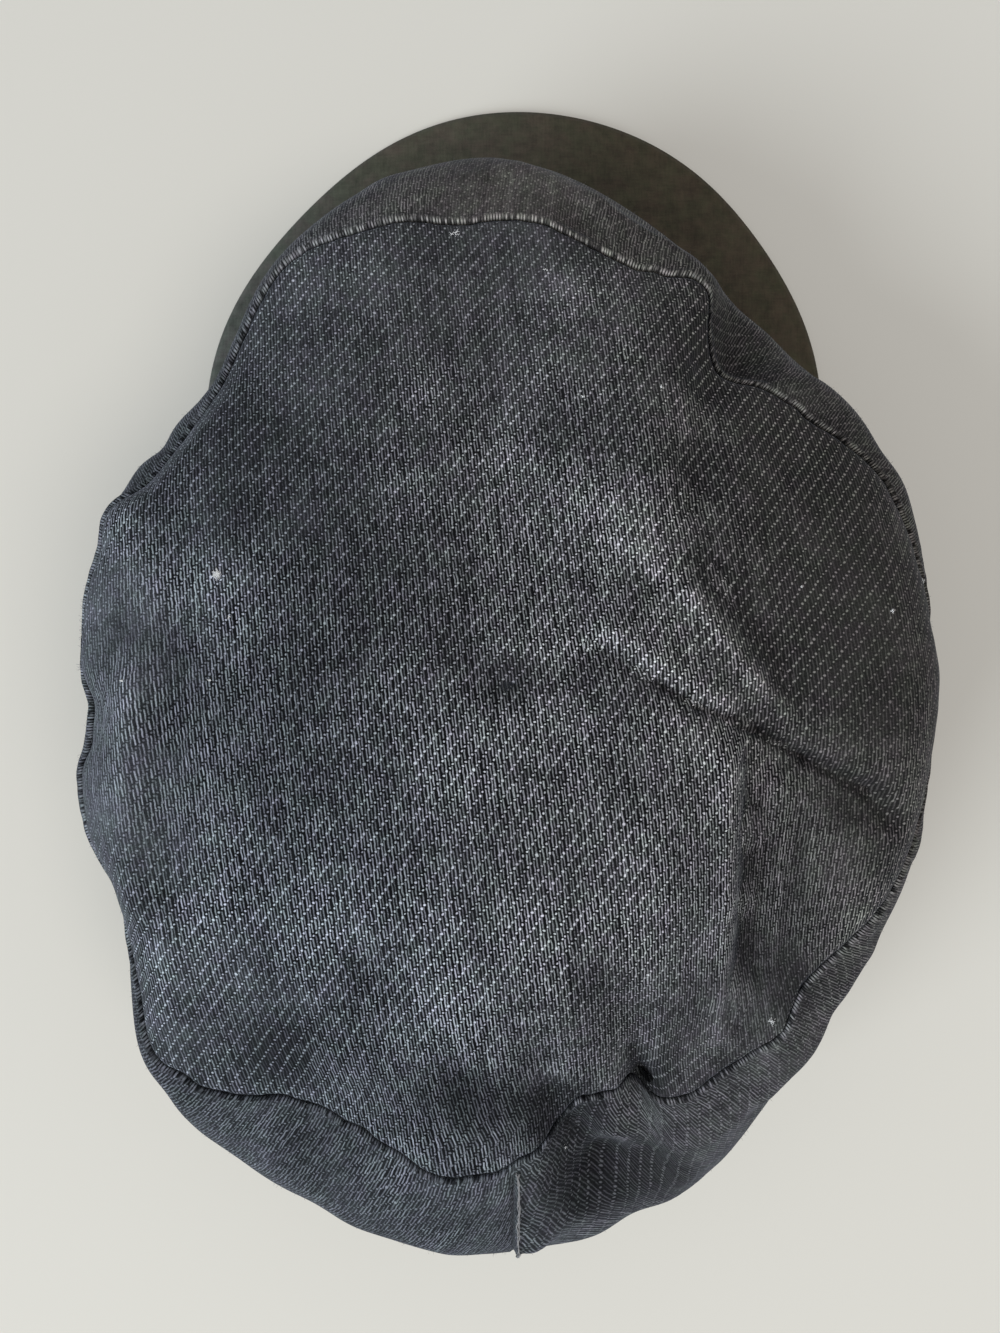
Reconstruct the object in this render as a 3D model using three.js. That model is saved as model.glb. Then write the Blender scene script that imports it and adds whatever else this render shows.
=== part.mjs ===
// A soft peaked cap of twill, lying on its rim.
// Millimetres, +Z up, the peak towards -Y, the wearer's left towards +X, the floor at z = 0.
import * as THREE from "three";

// Driving dimensions
const clothThickness = 1.3;
// The gaps that keep neighbouring pieces apart, at a plain joint and along the crinkled top seam
const pieceGap = 0.3;
const seamGap = 0.5;
// The crown's and the headband's shared middle, seen from above
const crownMiddle = { x: 0.2, y: 13.1 };

// The headband is an oval wall for a head of about 57 cm. Its rim lies flat at the sides and the back,
// and the peak lifts it at the front.
const band = {
  halfLength: 100,
  halfWidth: 81,
  height: 37,
  thickness: 2.6,
  frontLift: 10,
  liftEndsAt: 66,
};

// The crown's side wall meets the headband's outer face a little below its top.
const sideLandsAt = 32.5;

// The peak is a crescent: a round outer edge about its own middle, ahead of the crown's middle, and an
// inner edge along the headband. It arches up where it is sewn on at the front, its corners tuck in to
// the headband, and its outer edge is a blunt nose.
const peak = {
  middleX: -0.6,
  middleY: -61.1,
  radius: 88.6,
  thickness: 2.6,
  halfAngle: 111,
  tuckStartsAt: 84,
  tuckIn: 8.2,
  rootGap: 0.4,
  rootTopFront: 12.9,
  rootTopSide: 3.4,
  edgeTop: 3.3,
  camber: 1.6,
  noseOut: 1.1,
};

// Where the peak's outer edge is flatter than its arc: the angle about the peak's middle (above 0 on the
// wearer's left), how far in and the half width in degrees
const peakShoulders = [
  { angle: 46, inwards: 4.2, spread: 26 },
  { angle: -55, inwards: 1.6, spread: 18 },
];

// A row for each section of the crown, every 15 degrees round its middle, from the front (0) by the
// wearer's left (90) and the back (180): the top seam's distance out and height, the widest ring's
// distance out and height, and how far the top panel rolls out over its own seam.
const crownSections = [
  { angle: 0, seamOut: 105, seamUp: 61, wideOut: 125.5, wideUp: 46, roll: 0 },
  { angle: 15, seamOut: 108, seamUp: 62, wideOut: 123.5, wideUp: 46, roll: 0 },
  { angle: 30, seamOut: 106, seamUp: 62, wideOut: 113, wideUp: 48, roll: 1 },
  { angle: 45, seamOut: 94.5, seamUp: 61, wideOut: 99.5, wideUp: 50, roll: 3 },
  { angle: 60, seamOut: 92, seamUp: 65, wideOut: 100.5, wideUp: 54, roll: 3 },
  { angle: 75, seamOut: 94, seamUp: 73, wideOut: 95.5, wideUp: 57, roll: 1 },
  { angle: 90, seamOut: 93, seamUp: 75, wideOut: 94, wideUp: 57, roll: 0.5 },
  { angle: 105, seamOut: 95.5, seamUp: 74, wideOut: 99, wideUp: 56, roll: 1 },
  { angle: 120, seamOut: 98.5, seamUp: 71, wideOut: 100.5, wideUp: 52, roll: 1.5 },
  { angle: 135, seamOut: 109, seamUp: 69, wideOut: 121.5, wideUp: 48, roll: 0 },
  { angle: 150, seamOut: 105, seamUp: 70, wideOut: 131.5, wideUp: 44, roll: 0 },
  { angle: 165, seamOut: 104, seamUp: 73, wideOut: 136, wideUp: 42, roll: 0 },
  { angle: 180, seamOut: 105, seamUp: 75, wideOut: 136.5, wideUp: 42, roll: 0 },
  { angle: 195, seamOut: 95, seamUp: 73, wideOut: 133, wideUp: 42, roll: 0 },
  { angle: 210, seamOut: 96, seamUp: 69, wideOut: 118, wideUp: 44, roll: 0 },
  { angle: 225, seamOut: 93, seamUp: 67, wideOut: 107.5, wideUp: 47, roll: 0 },
  { angle: 240, seamOut: 96, seamUp: 66, wideOut: 104, wideUp: 50, roll: 0 },
  { angle: 255, seamOut: 94.5, seamUp: 65, wideOut: 98, wideUp: 53, roll: 0 },
  { angle: 270, seamOut: 93, seamUp: 64, wideOut: 96, wideUp: 54, roll: 0 },
  { angle: 285, seamOut: 94.5, seamUp: 63, wideOut: 99, wideUp: 53, roll: 0 },
  { angle: 300, seamOut: 95, seamUp: 62, wideOut: 103.5, wideUp: 50, roll: 0 },
  { angle: 315, seamOut: 89, seamUp: 61, wideOut: 104, wideUp: 48, roll: 0 },
  { angle: 330, seamOut: 92, seamUp: 60, wideOut: 105.5, wideUp: 46, roll: 0 },
  { angle: 345, seamOut: 98.5, seamUp: 61, wideOut: 116, wideUp: 46, roll: 0 },
];

// Short corners and dents in the top seam: the angle, the move out and up, and the half width in degrees.
const seamKinks = [
  { angle: 8, out: -1.8, up: 0, spread: 4 },
  { angle: 67, out: 4, up: 0, spread: 4 },
  { angle: 95, out: -3, up: 0, spread: 4 },
  { angle: 137, out: 5, up: 0, spread: 4 },
  { angle: 145, out: 3.5, up: 0, spread: 4 },
  { angle: 156, out: -2.5, up: 0, spread: 4 },
  { angle: 171, out: 3, up: 0, spread: 4 },
  { angle: 188, out: -8, up: -2, spread: 5 },
  { angle: 196.5, out: -5, up: -3, spread: 2.5 },
  { angle: 202, out: 2.5, up: 0, spread: 3 },
  { angle: 217, out: 3, up: 1, spread: 4 },
  { angle: 326, out: -5.5, up: -2, spread: 5 },
  { angle: 335.5, out: 6.5, up: 1, spread: 4 },
];

// A row for each section across the top panel, 20 mm apart from front to back: the cloth's height on
// five lines 30 mm apart, from the wearer's left to the right.
const topSections = [
  { y: -100, left: 60, midLeft: 64, middle: 62, midRight: 62, right: 58 },
  { y: -80, left: 63, midLeft: 66.5, middle: 64.5, midRight: 66.5, right: 61 },
  { y: -60, left: 70, midLeft: 70, middle: 68, midRight: 71, right: 64 },
  { y: -40, left: 76, midLeft: 73, middle: 71.5, midRight: 74, right: 70 },
  { y: -20, left: 80, midLeft: 77, middle: 75, midRight: 77.5, right: 76 },
  { y: 0, left: 81.5, midLeft: 82, middle: 82, midRight: 83, right: 79.5 },
  { y: 20, left: 82.5, midLeft: 84, middle: 86, midRight: 86, right: 79 },
  { y: 40, left: 82, midLeft: 84.5, middle: 85.5, midRight: 86, right: 75 },
  { y: 60, left: 79, midLeft: 83, middle: 85, midRight: 81, right: 70 },
  { y: 80, left: 73, midLeft: 78.5, middle: 80.5, midRight: 75, right: 67 },
  { y: 100, left: 70, midLeft: 75, middle: 77, midRight: 72, right: 66 },
];
const topLines = ["left", "midLeft", "middle", "midRight", "right"];
const topLineSpacing = 30;
const topSectionSpacing = 20;

// The main dents and folds of the top panel: where each starts and ends, its height (below 0 for a
// valley) and its half width.
const topFolds = [
  { fromX: -14, fromY: -8, toX: -48, toY: 9, height: -1.6, width: 4 },
  { fromX: -48, fromY: 9, toX: -78, toY: 28, height: -3, width: 5 },
  { fromX: -44, fromY: 14, toX: -43, toY: 66, height: 2, width: 4.5 },
  { fromX: -53, fromY: 18, toX: -52, toY: 62, height: -3, width: 5 },
  { fromX: -27, fromY: -56, toX: -46, toY: -4, height: 2, width: 6 },
  { fromX: -44, fromY: -72, toX: -39, toY: -40, height: -3, width: 5 },
  { fromX: 81, fromY: 2, toX: 81, toY: 46, height: 3, width: 5 },
  { fromX: -28, fromY: 86, toX: -24, toY: 68, height: -3, width: 5 },
  { fromX: -10, fromY: 94, toX: -6, toY: 80, height: -3, width: 5 },
];

// The main folds of the side wall: the angles and the places down the wall (0 the top seam, 1 the widest
// ring) where each starts and ends, how far it stands out and its half width in millimetres. They fade
// out near the seam and under the widest ring.
const sideReach = 40;
const sideFoldsStart = { from: 0, to: 0.25 };
const sideFoldsEnd = { from: 1.2, to: 1.7 };
const sideFolds = [
  { fromAngle: 189, fromDown: 0.15, toAngle: 193, toDown: 0.7, out: -4.5, width: 8 },
  { fromAngle: 203, fromDown: 0.15, toAngle: 232, toDown: 0.55, out: 3, width: 7 },
  { fromAngle: 240, fromDown: 0.4, toAngle: 212, toDown: 0.95, out: -2.5, width: 8 },
  { fromAngle: 154, fromDown: 0.25, toAngle: 173, toDown: 0.5, out: 2, width: 9 },
  { fromAngle: 55, fromDown: 0.1, toAngle: 57, toDown: 0.9, out: -2, width: 5 },
  { fromAngle: 322, fromDown: 0.1, toAngle: 318, toDown: 0.8, out: -2.5, width: 8 },
];

// The grid of each wall
const sectionsRound = 90;
const topRings = [0.12, 0.24, 0.35, 0.46, 0.56, 0.65, 0.73, 0.8, 0.86, 0.91, 0.95, 0.98, 1];
const sideRows = [0, 0.2, 0.4, 0.6, 0.8, 1, 1.34, 1.67, 2];
const bandSectionsRound = 72;
const peakSections = 30;
const peakRows = 5;

// Where the top panel starts to turn down to its seam, as a share of the way out
const turnDownFrom = 0.84;
const rollFrom = 0.78;

const degrees = Math.PI / 180;
const up = new THREE.Vector3(0, 0, 1);

// A smooth value between b and c, by the Catmull-Rom rule
function between(a, b, c, d, t) {
  const straight = (c - a) * t;
  const bend = (2 * a - 5 * b + 4 * c - d) * t * t;
  const twist = (3 * b - a - 3 * c + d) * t * t * t;
  return b + 0.5 * (straight + bend + twist);
}

function rise(from, to, value) {
  return THREE.MathUtils.smoothstep(value, from, to);
}

function bell(distance, halfWidth) {
  return Math.exp(-((distance / halfWidth) ** 2));
}

function degreesApart(a, b) {
  return ((((a - b) % 360) + 540) % 360) - 180;
}

// One column of the crown's sections at any angle
function crownAt(column, angle) {
  const count = crownSections.length;
  const place = ((((angle % 360) + 360) % 360) * count) / 360;
  const row = Math.floor(place);
  const value = (step) => crownSections[(row + step + count) % count][column];
  return between(value(-1), value(0), value(1), value(2), place - row);
}

function seamAt(angle) {
  let out = crownAt("seamOut", angle);
  let height = crownAt("seamUp", angle);
  for (const kink of seamKinks) {
    const share = bell(degreesApart(angle, kink.angle), kink.spread);
    out += kink.out * share;
    height += kink.up * share;
  }
  return { out, height };
}

// The point at a distance out from the crown's middle
function around(angle, out, z) {
  const x = crownMiddle.x + out * Math.sin(angle * degrees);
  const y = crownMiddle.y - out * Math.cos(angle * degrees);
  return new THREE.Vector3(x, y, z);
}

// How near (x, y) is to the line between a fold's two ends, as a share that is 1 on the line
function foldShare(x, y, from, to, halfWidth) {
  const along = new THREE.Vector2().subVectors(to, from);
  const offset = new THREE.Vector2(x, y).sub(from);
  const share = THREE.MathUtils.clamp(offset.dot(along) / along.lengthSq(), 0, 1);
  return bell(offset.sub(along.multiplyScalar(share)).length(), halfWidth);
}

// The top panel's height away from its seam
function topHeight(x, y) {
  const lastRow = topSections.length - 1;
  const lastLine = topLines.length - 1;
  const { clamp } = THREE.MathUtils;
  const rowPlace = clamp((y - topSections[0].y) / topSectionSpacing, 0, lastRow);
  const linePlace = clamp(lastLine / 2 - x / topLineSpacing, 0, lastLine);
  const row = Math.min(Math.floor(rowPlace), lastRow - 1);
  const line = Math.min(Math.floor(linePlace), lastLine - 1);
  const value = (r, l) => topSections[clamp(r, 0, lastRow)][topLines[clamp(l, 0, lastLine)]];
  const acrossRow = (r) =>
    between(value(r, line - 1), value(r, line), value(r, line + 1), value(r, line + 2), linePlace - line);
  let height = between(
    acrossRow(row - 1),
    acrossRow(row),
    acrossRow(row + 1),
    acrossRow(row + 2),
    rowPlace - row,
  );
  for (const fold of topFolds) {
    const from = new THREE.Vector2(fold.fromX, fold.fromY);
    const to = new THREE.Vector2(fold.toX, fold.toY);
    height += fold.height * foldShare(x, y, from, to, fold.width);
  }
  return height;
}

// A point on the top panel's outer face: share 0 is the crown's middle and 1 the seam. Near the seam the
// cloth turns down to it on a round shoulder, and where it rolls over the seam it stands out past it.
function topPoint(angle, share) {
  const seam = seamAt(angle);
  const roll = crownAt("roll", angle) * Math.sin(Math.PI * rise(rollFrom, 1, share));
  const point = around(angle, seam.out * share + roll, 0);
  const turn = Math.max(0, (share - turnDownFrom) / (1 - turnDownFrom));
  const shoulder = 1 - Math.sqrt(1 - turn * turn);
  const open = topHeight(point.x - crownMiddle.x, point.y - crownMiddle.y);
  point.z = THREE.MathUtils.lerp(open, seam.height, shoulder);
  return point;
}

// The headband's outer face, as a distance out from the crown's middle
function bandOut(angle) {
  const across = Math.sin(angle * degrees) / band.halfWidth;
  const along = Math.cos(angle * degrees) / band.halfLength;
  return 1 / Math.hypot(across, along);
}

// A point on the side wall's outer face: down 0 is the top seam, 1 the widest ring and 2 the headband.
// The wall is a quarter round from the seam out to the widest ring, and another one in to the headband.
function sidePoint(angle, down) {
  const seam = seamAt(angle);
  const wideOut = crownAt("wideOut", angle);
  const wideUp = crownAt("wideUp", angle);
  const turn = (down <= 1 ? down : down - 1) * (Math.PI / 2);
  let out = THREE.MathUtils.lerp(seam.out + seamGap, wideOut, Math.sin(turn));
  let z = THREE.MathUtils.lerp(wideUp, seam.height, Math.cos(turn));
  if (down > 1) {
    out = THREE.MathUtils.lerp(bandOut(angle) + pieceGap, wideOut, Math.cos(turn));
    z = THREE.MathUtils.lerp(wideUp, sideLandsAt, Math.sin(turn));
  }
  const free =
    rise(sideFoldsStart.from, sideFoldsStart.to, down) *
    (1 - rise(sideFoldsEnd.from, sideFoldsEnd.to, down));
  const place = (a, d) => new THREE.Vector2(a * degrees * wideOut, d * sideReach);
  const here = place(angle, down);
  for (const fold of sideFolds) {
    const from = place(fold.fromAngle, fold.fromDown);
    const to = place(fold.toAngle, fold.toDown);
    out += fold.out * free * foldShare(here.x, here.y, from, to, fold.width);
  }
  return around(angle, out, z);
}

// The direction out of a wall whose outer face pointAt(angle, place) gives, from points a step away on
// each side; limits are the lowest and the highest place that still lie on it.
const angleStep = 1;
function outwards(pointAt, angle, place, { step, limits }) {
  const low = pointAt(angle, Math.max(limits[0], place - step));
  const high = pointAt(angle, Math.min(limits[1], place + step));
  const round = pointAt(angle + angleStep, place).sub(pointAt(angle - angleStep, place));
  return high.sub(low).cross(round).normalize();
}

// One closed skin through sections that each hold the same number of points. Round sections go back to
// the first; flat ones are capped at both ends, their points paired across the section. With poles, the
// first and the last point of every section are the same.
function skin(sections, { round, poles = false }) {
  const perSection = sections[0].length;
  const positions = sections.flat().flatMap((p) => [p.x, p.y, p.z]);
  const last = perSection - 1;
  const faces = [];
  const vertex = (s, p) => {
    const shared = poles && (p === 0 || p === last);
    return (shared ? 0 : s % sections.length) * perSection + (p % perSection);
  };
  const quad = (a, b, c, d) => faces.push(a, b, c, a, c, d);
  const spans = round ? sections.length : sections.length - 1;
  const steps = poles ? last : perSection;
  for (let s = 0; s < spans; s++) {
    for (let p = 0; p < steps; p++) {
      if (poles && p === 0) faces.push(vertex(s, 0), vertex(s, 1), vertex(s + 1, 1));
      else if (poles && p === last - 1) faces.push(vertex(s, p), vertex(s, last), vertex(s + 1, p));
      else quad(vertex(s, p), vertex(s, p + 1), vertex(s + 1, p + 1), vertex(s + 1, p));
    }
  }
  if (!round) {
    const end = sections.length - 1;
    for (let p = 0; p < perSection / 2 - 1; p++) {
      const q = last - p;
      quad(vertex(0, p), vertex(0, q), vertex(0, q - 1), vertex(0, p + 1));
      quad(vertex(end, p), vertex(end, p + 1), vertex(end, q - 1), vertex(end, q));
    }
  }
  const geometry = new THREE.BufferGeometry();
  geometry.setAttribute("position", new THREE.Float32BufferAttribute(positions, 3));
  geometry.setIndex(faces);
  geometry.computeVertexNormals();
  return geometry;
}

// A section of a wall: its outer face and, one thickness behind it, its inner face back again
function wallSection(pointAt, angle, places, thickness, sampling) {
  const outer = places.map((place) => pointAt(angle, place));
  const inner = places.map((place, i) => {
    const normal = outwards(pointAt, angle, place, sampling);
    return outer[i].clone().addScaledVector(normal, -thickness);
  });
  return [...outer, ...inner.reverse()];
}

function crownTop() {
  const middle = topPoint(0, 0);
  const sampling = { step: 0.01, limits: [0.01, 0.999] };
  const sections = [];
  for (let s = 0; s < sectionsRound; s++) {
    const angle = (s * 360) / sectionsRound;
    const section = wallSection(topPoint, angle, topRings, clothThickness, sampling);
    section.unshift(middle);
    section.push(middle.clone().addScaledVector(up, -clothThickness));
    sections.push(section);
  }
  return skin(sections, { round: true, poles: true });
}

function crownSide() {
  const sampling = { step: 0.02, limits: [0, 2] };
  const sections = [];
  for (let s = 0; s < sectionsRound; s++) {
    const angle = (s * 360) / sectionsRound;
    sections.push(wallSection(sidePoint, angle, sideRows, clothThickness, sampling));
  }
  return skin(sections, { round: true });
}

// The height of the headband's rim: flat on the floor, lifted at the front
function rimHeight(angle) {
  const fromFront = Math.abs(degreesApart(angle, 0));
  return band.frontLift * (1 - rise(0, band.liftEndsAt, fromFront));
}

function headbandWall() {
  const wallPoint = (angle, share) =>
    around(angle, bandOut(angle), THREE.MathUtils.lerp(band.height, rimHeight(angle), share));
  const sampling = { step: 1, limits: [0, 1] };
  const sections = [];
  for (let s = 0; s < bandSectionsRound; s++) {
    const angle = (s * 360) / bandSectionsRound;
    sections.push(wallSection(wallPoint, angle, [0, 1], band.thickness, sampling));
  }
  return skin(sections, { round: true });
}

// The distance from the peak's middle to its inner edge, just off the headband's outer face: where a ray
// from the peak's middle crosses the headband's oval
function peakRootOut(angle) {
  const dx = Math.sin(angle * degrees) / band.halfWidth;
  const dy = -Math.cos(angle * degrees) / band.halfLength;
  const x = (peak.middleX - crownMiddle.x) / band.halfWidth;
  const y = (peak.middleY - crownMiddle.y) / band.halfLength;
  const a = dx * dx + dy * dy;
  const b = x * dx + y * dy;
  const c = x * x + y * y - 1;
  return (-b + Math.sqrt(b * b - a * c)) / a + peak.rootGap;
}

// A closed section of the peak: its top face from the headband to the edge, the round edge, and its
// under face back again
function peakSection(share) {
  const angle = share * peak.halfAngle;
  const root = peakRootOut(angle);
  const tuck = peak.tuckIn * rise(peak.tuckStartsAt, peak.halfAngle, Math.abs(angle));
  let arc = peak.radius - tuck;
  for (const flat of peakShoulders) arc -= flat.inwards * bell(angle - flat.angle, flat.spread);
  const edge = Math.max(arc, root + peak.thickness);
  const rootTop = THREE.MathUtils.lerp(peak.rootTopFront, peak.rootTopSide, rise(0, 1, Math.abs(share)));
  const place = (out, z) => {
    const x = peak.middleX + out * Math.sin(angle * degrees);
    const y = peak.middleY - out * Math.cos(angle * degrees);
    return new THREE.Vector3(x, y, z);
  };
  const top = [];
  for (let row = 0; row <= peakRows; row++) {
    const way = row / peakRows;
    const arch = peak.camber * Math.sin(Math.PI * way) * Math.cos((share * Math.PI) / 2);
    const out = THREE.MathUtils.lerp(root, edge - peak.noseOut, way);
    top.push(place(out, THREE.MathUtils.lerp(rootTop, peak.edgeTop, way) + arch));
  }
  const under = top.map((p) => p.clone().addScaledVector(up, -peak.thickness)).reverse();
  const nose = peak.thickness / 4;
  const upperNose = place(edge, peak.edgeTop - nose);
  const lowerNose = place(edge, peak.edgeTop - peak.thickness + nose);
  return [...top, upperNose, lowerNose, ...under];
}

function peakBoard() {
  const sections = [];
  for (let s = 0; s <= peakSections; s++) sections.push(peakSection((2 * s) / peakSections - 1));
  return skin(sections, { round: false });
}

function piece(name, geometry, colour, roughness) {
  const material = new THREE.MeshStandardMaterial({ color: colour, roughness, metalness: 0 });
  const mesh = new THREE.Mesh(geometry, material);
  mesh.name = name;
  return mesh;
}

const cap = new THREE.Group();
cap.add(piece("crown_top", crownTop(), 0x35363a, 0.95));
cap.add(piece("crown_side", crownSide(), 0x303136, 0.95));
cap.add(piece("headband", headbandWall(), 0x2b2c30, 0.95));
cap.add(piece("peak", peakBoard(), 0x302f2b, 0.9));

export default cap;
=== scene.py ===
# %% [markdown]
# A soft peaked cap of black twill
#
# The cap lies on its rim, seen from straight above. It is four sewn pieces: a top panel, a side strip, a
# headband and a cloth-covered peak. The solid model gives the sizes; this lesson rebuilds each piece as
# real cloth, with its folds, its seams and its weave. One unit is a metre, the floor is z = 0, and the
# peak points to -Y.

# %% The solid model
import math

import bmesh
import bpy
import numpy as np
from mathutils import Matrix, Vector


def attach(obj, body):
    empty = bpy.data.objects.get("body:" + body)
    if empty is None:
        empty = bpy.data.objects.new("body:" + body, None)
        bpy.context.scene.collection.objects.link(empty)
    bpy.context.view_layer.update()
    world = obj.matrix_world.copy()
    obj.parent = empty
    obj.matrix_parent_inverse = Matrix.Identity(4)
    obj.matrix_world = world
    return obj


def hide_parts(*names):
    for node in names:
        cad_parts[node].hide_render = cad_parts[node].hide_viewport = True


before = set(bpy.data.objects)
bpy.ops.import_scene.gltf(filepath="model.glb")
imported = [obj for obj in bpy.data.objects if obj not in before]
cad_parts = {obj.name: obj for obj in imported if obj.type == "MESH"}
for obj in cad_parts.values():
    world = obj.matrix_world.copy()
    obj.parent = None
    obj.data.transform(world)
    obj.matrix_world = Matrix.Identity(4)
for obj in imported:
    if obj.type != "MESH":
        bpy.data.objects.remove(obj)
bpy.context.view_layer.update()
print("the solid model's pieces:", sorted(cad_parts))

# %% [markdown]
# The camera looks straight down from 290 mm over the floor, as a phone held over a table does. So near,
# the top of the crown looks bigger than the rim. Blender measures the lens against the long side of the
# picture, so the focal length comes from that side's angle.

# %% Camera
picture_width, picture_height = 1000, 1333
camera_height = 0.290
half_view_across = 0.499
half_view_along = half_view_across * picture_height / picture_width
camera_over = Vector((0.0033, 0.0097, camera_height))
film_side = 36

camera_data = bpy.data.cameras.new("camera")
camera_data.sensor_fit = "AUTO"
camera_data.sensor_width = film_side
camera_data.lens = film_side / (2 * half_view_along)
camera = bpy.data.objects.new("camera", camera_data)
camera.location = camera_over
camera.rotation_euler = (0, 0, math.pi)
bpy.context.scene.collection.objects.link(camera)
bpy.context.scene.camera = camera
print(f"the lens is {camera_data.lens:.1f} mm")

# %% [markdown]
# The floor is one plain pale sheet. The light is a big soft window on the wearer's left and behind, cool,
# with a weaker warm lamp high up on the other side, and a pale room all round that fills the shadows. A
# hard sun would draw every fold with a sharp shadow; soft light from the side shows the folds as shade.

# %% Floor and light
scene = bpy.context.scene
scene.view_settings.view_transform = "Standard"
scene.view_settings.look = "None"


def material_with_shader(name, roughness, gloss):
    material = bpy.data.materials.new(name)
    material.use_nodes = True
    nodes = material.node_tree.nodes
    shader = next(node for node in nodes if node.type == "BSDF_PRINCIPLED")
    shader.inputs["Roughness"].default_value = roughness
    shader.inputs["Specular IOR Level"].default_value = gloss
    return material, shader


def new_piece(name, mesh):
    piece = bpy.data.objects.new(name, mesh)
    scene.collection.objects.link(piece)
    return piece


floor_half_side = 2
floor_colour = (0.71, 0.69, 0.64, 1)
corner_ways = ((-1, -1), (1, -1), (1, 1), (-1, 1))
floor_corners = [(floor_half_side * a, floor_half_side * b, 0) for a, b in corner_ways]
floor_mesh = bpy.data.meshes.new("floor")
floor_mesh.from_pydata(floor_corners, [], [(0, 1, 2, 3)])
floor = new_piece("floor", floor_mesh)
floor_paper, floor_shader = material_with_shader("floor_paper", roughness=0.95, gloss=0.1)
floor_shader.inputs["Base Color"].default_value = floor_colour
floor_mesh.materials.append(floor_paper)

soft_lights = [
    # name, place, metres across, watts, colour
    ("window", (1.58, 1.24, 1.30), 1.2, 36.5, (0.90, 0.97, 1.0)),
    ("high_lamp", (-0.55, 0.45, 1.5), 0.9, 8.0, (1.0, 0.94, 0.86)),
]
lit_from_lamps = Vector((0, 0, 0.05))
for name, place, size, watts, colour in soft_lights:
    lamp = bpy.data.lights.new(name, "AREA")
    lamp.shape = "DISK"
    lamp.size = size
    lamp.energy = watts
    lamp.color = colour
    light = new_piece(name, lamp)
    light.location = place
    light.rotation_euler = (lit_from_lamps - Vector(place)).to_track_quat("-Z", "Y").to_euler()

room_colour, room_strength = (0.95, 0.97, 1.0, 1), 0.455
room = bpy.data.worlds.new("room")
scene.world = room
room.use_nodes = True
room_light = room.node_tree.nodes["Background"]
room_light.inputs["Color"].default_value = room_colour
room_light.inputs["Strength"].default_value = room_strength
print(len(soft_lights), "soft lights and a pale room")

# %% [markdown]
# The crown's shape comes from a few short tables, the same as in the solid model and in millimetres: a
# row every 15 degrees round the crown, from the front (0) by the wearer's left (90) to the back (180).
# Between the rows the values run on smoothly. A long list of points would give the same form, but a row is
# easier to read and to move.

# %% Sections of the crown
crown_middle = np.array([0.2, 13.1])

section_angle = 15
crown_sections = [
    # seam_out, seam_up, wide_out, wide_up, roll
    (105, 61, 125.5, 46, 0),
    (108, 62, 123.5, 46, 0),
    (106, 62, 113, 48, 1),
    (94.5, 61, 99.5, 50, 3),
    (92, 65, 100.5, 54, 3),
    (94, 73, 95.5, 57, 1),
    (93, 75, 94, 57, 0.5),
    (95.5, 74, 99, 56, 1),
    (98.5, 71, 100.5, 52, 1.5),
    (109, 69, 121.5, 48, 0),
    (105, 70, 131.5, 44, 0),
    (104, 73, 136, 42, 0),
    (105, 75, 136.5, 42, 0),
    (95, 73, 133, 42, 0),
    (96, 69, 118, 44, 0),
    (93, 67, 107.5, 47, 0),
    (96, 66, 104, 50, 0),
    (94.5, 65, 98, 53, 0),
    (93, 64, 96, 54, 0),
    (94.5, 63, 99, 53, 0),
    (95, 62, 103.5, 50, 0),
    (89, 61, 104, 48, 0),
    (92, 60, 105.5, 46, 0),
    (98.5, 61, 116, 46, 0),
]
print(len(crown_sections), "sections round the crown")

# %% [markdown]
# The seam doesn't run smoothly: it was led by hand and the slack cloth pulls at it. Each kink is a row of
# its own, and so is each small step.

# %% The seam's kinks
seam_kinks = [
    # angle, out, up, spread in degrees
    (8, -1.8, 0, 4),
    (67, 4, 0, 4),
    (95, -3, 0, 4),
    (137, 5, 0, 4),
    (145, 3.5, 0, 4),
    (156, -2.5, 0, 4),
    (171, 3, 0, 4),
    (188, -8, -2, 5),
    (196.5, -5, -3, 2.5),
    (202, 2.5, 0, 3),
    (217, 3, 1, 4),
    (326, -5.5, -2, 5),
    (335.5, 6.5, 1, 4),
]
fine_kinks = [
    # angle, out, spread in degrees: the small steps that a hand-led seam makes
    (5, -0.5, 2),
    (27, 1.4, 5),
    (92, -1.1, 2.5),
    (98.5, -1.2, 2),
    (110, 1.2, 4),
    (133, 0.8, 3),
    (142, 1.9, 2.2),
    (150.5, -1.0, 2),
    (161, -1.2, 2),
    (180.5, -1.5, 1.8),
    (186.5, 0.9, 2),
    (192.5, -1.2, 1.5),
    (196, 1.0, 1.5),
    (198.5, 2.6, 1.6),
    (206, 1.4, 3),
    (211, 0.8, 2.5),
    (270, 1.6, 7),
    (314, 0.8, 1.5),
    (333, 2.0, 1.3),
    (341, 1.5, 1.6),
    (357, 1.2, 3.5),
]
print(len(seam_kinks), "kinks and", len(fine_kinks), "small steps along the seam")

# %% [markdown]
# A few helpers read the tables. The Catmull-Rom rule runs smoothly through all the rows, where straight
# lines would leave corners. A rise goes gently from 0 to 1, and a bell falls from 1 to 0 on both sides.

# %% Between the rows


def catmull_rom(before, start, end, after, t):
    straight = (end - before) * t
    bend = (2 * before - 5 * start + 4 * end - after) * t**2
    twist = (3 * start - before - 3 * end + after) * t**3
    return start + 0.5 * (straight + bend + twist)


def rise(start, end, value):
    t = np.clip((value - start) / (end - start), 0, 1)
    return t * t * (3 - 2 * t)


def bell(distance, half_width):
    return np.exp(-((distance / half_width) ** 2))


def degrees_apart(a, b):
    return (a - b + 180) % 360 - 180


def crown_at(angle):
    """Seam out, seam up, widest out, widest up and roll at each angle in degrees."""
    table = np.array(crown_sections, float)
    place = np.asarray(angle, float) % 360 / section_angle
    row = np.floor(place).astype(int)
    near = [table[(row + step) % len(table)] for step in (-1, 0, 1, 2)]
    return catmull_rom(*near, (place - row)[..., None])


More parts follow.
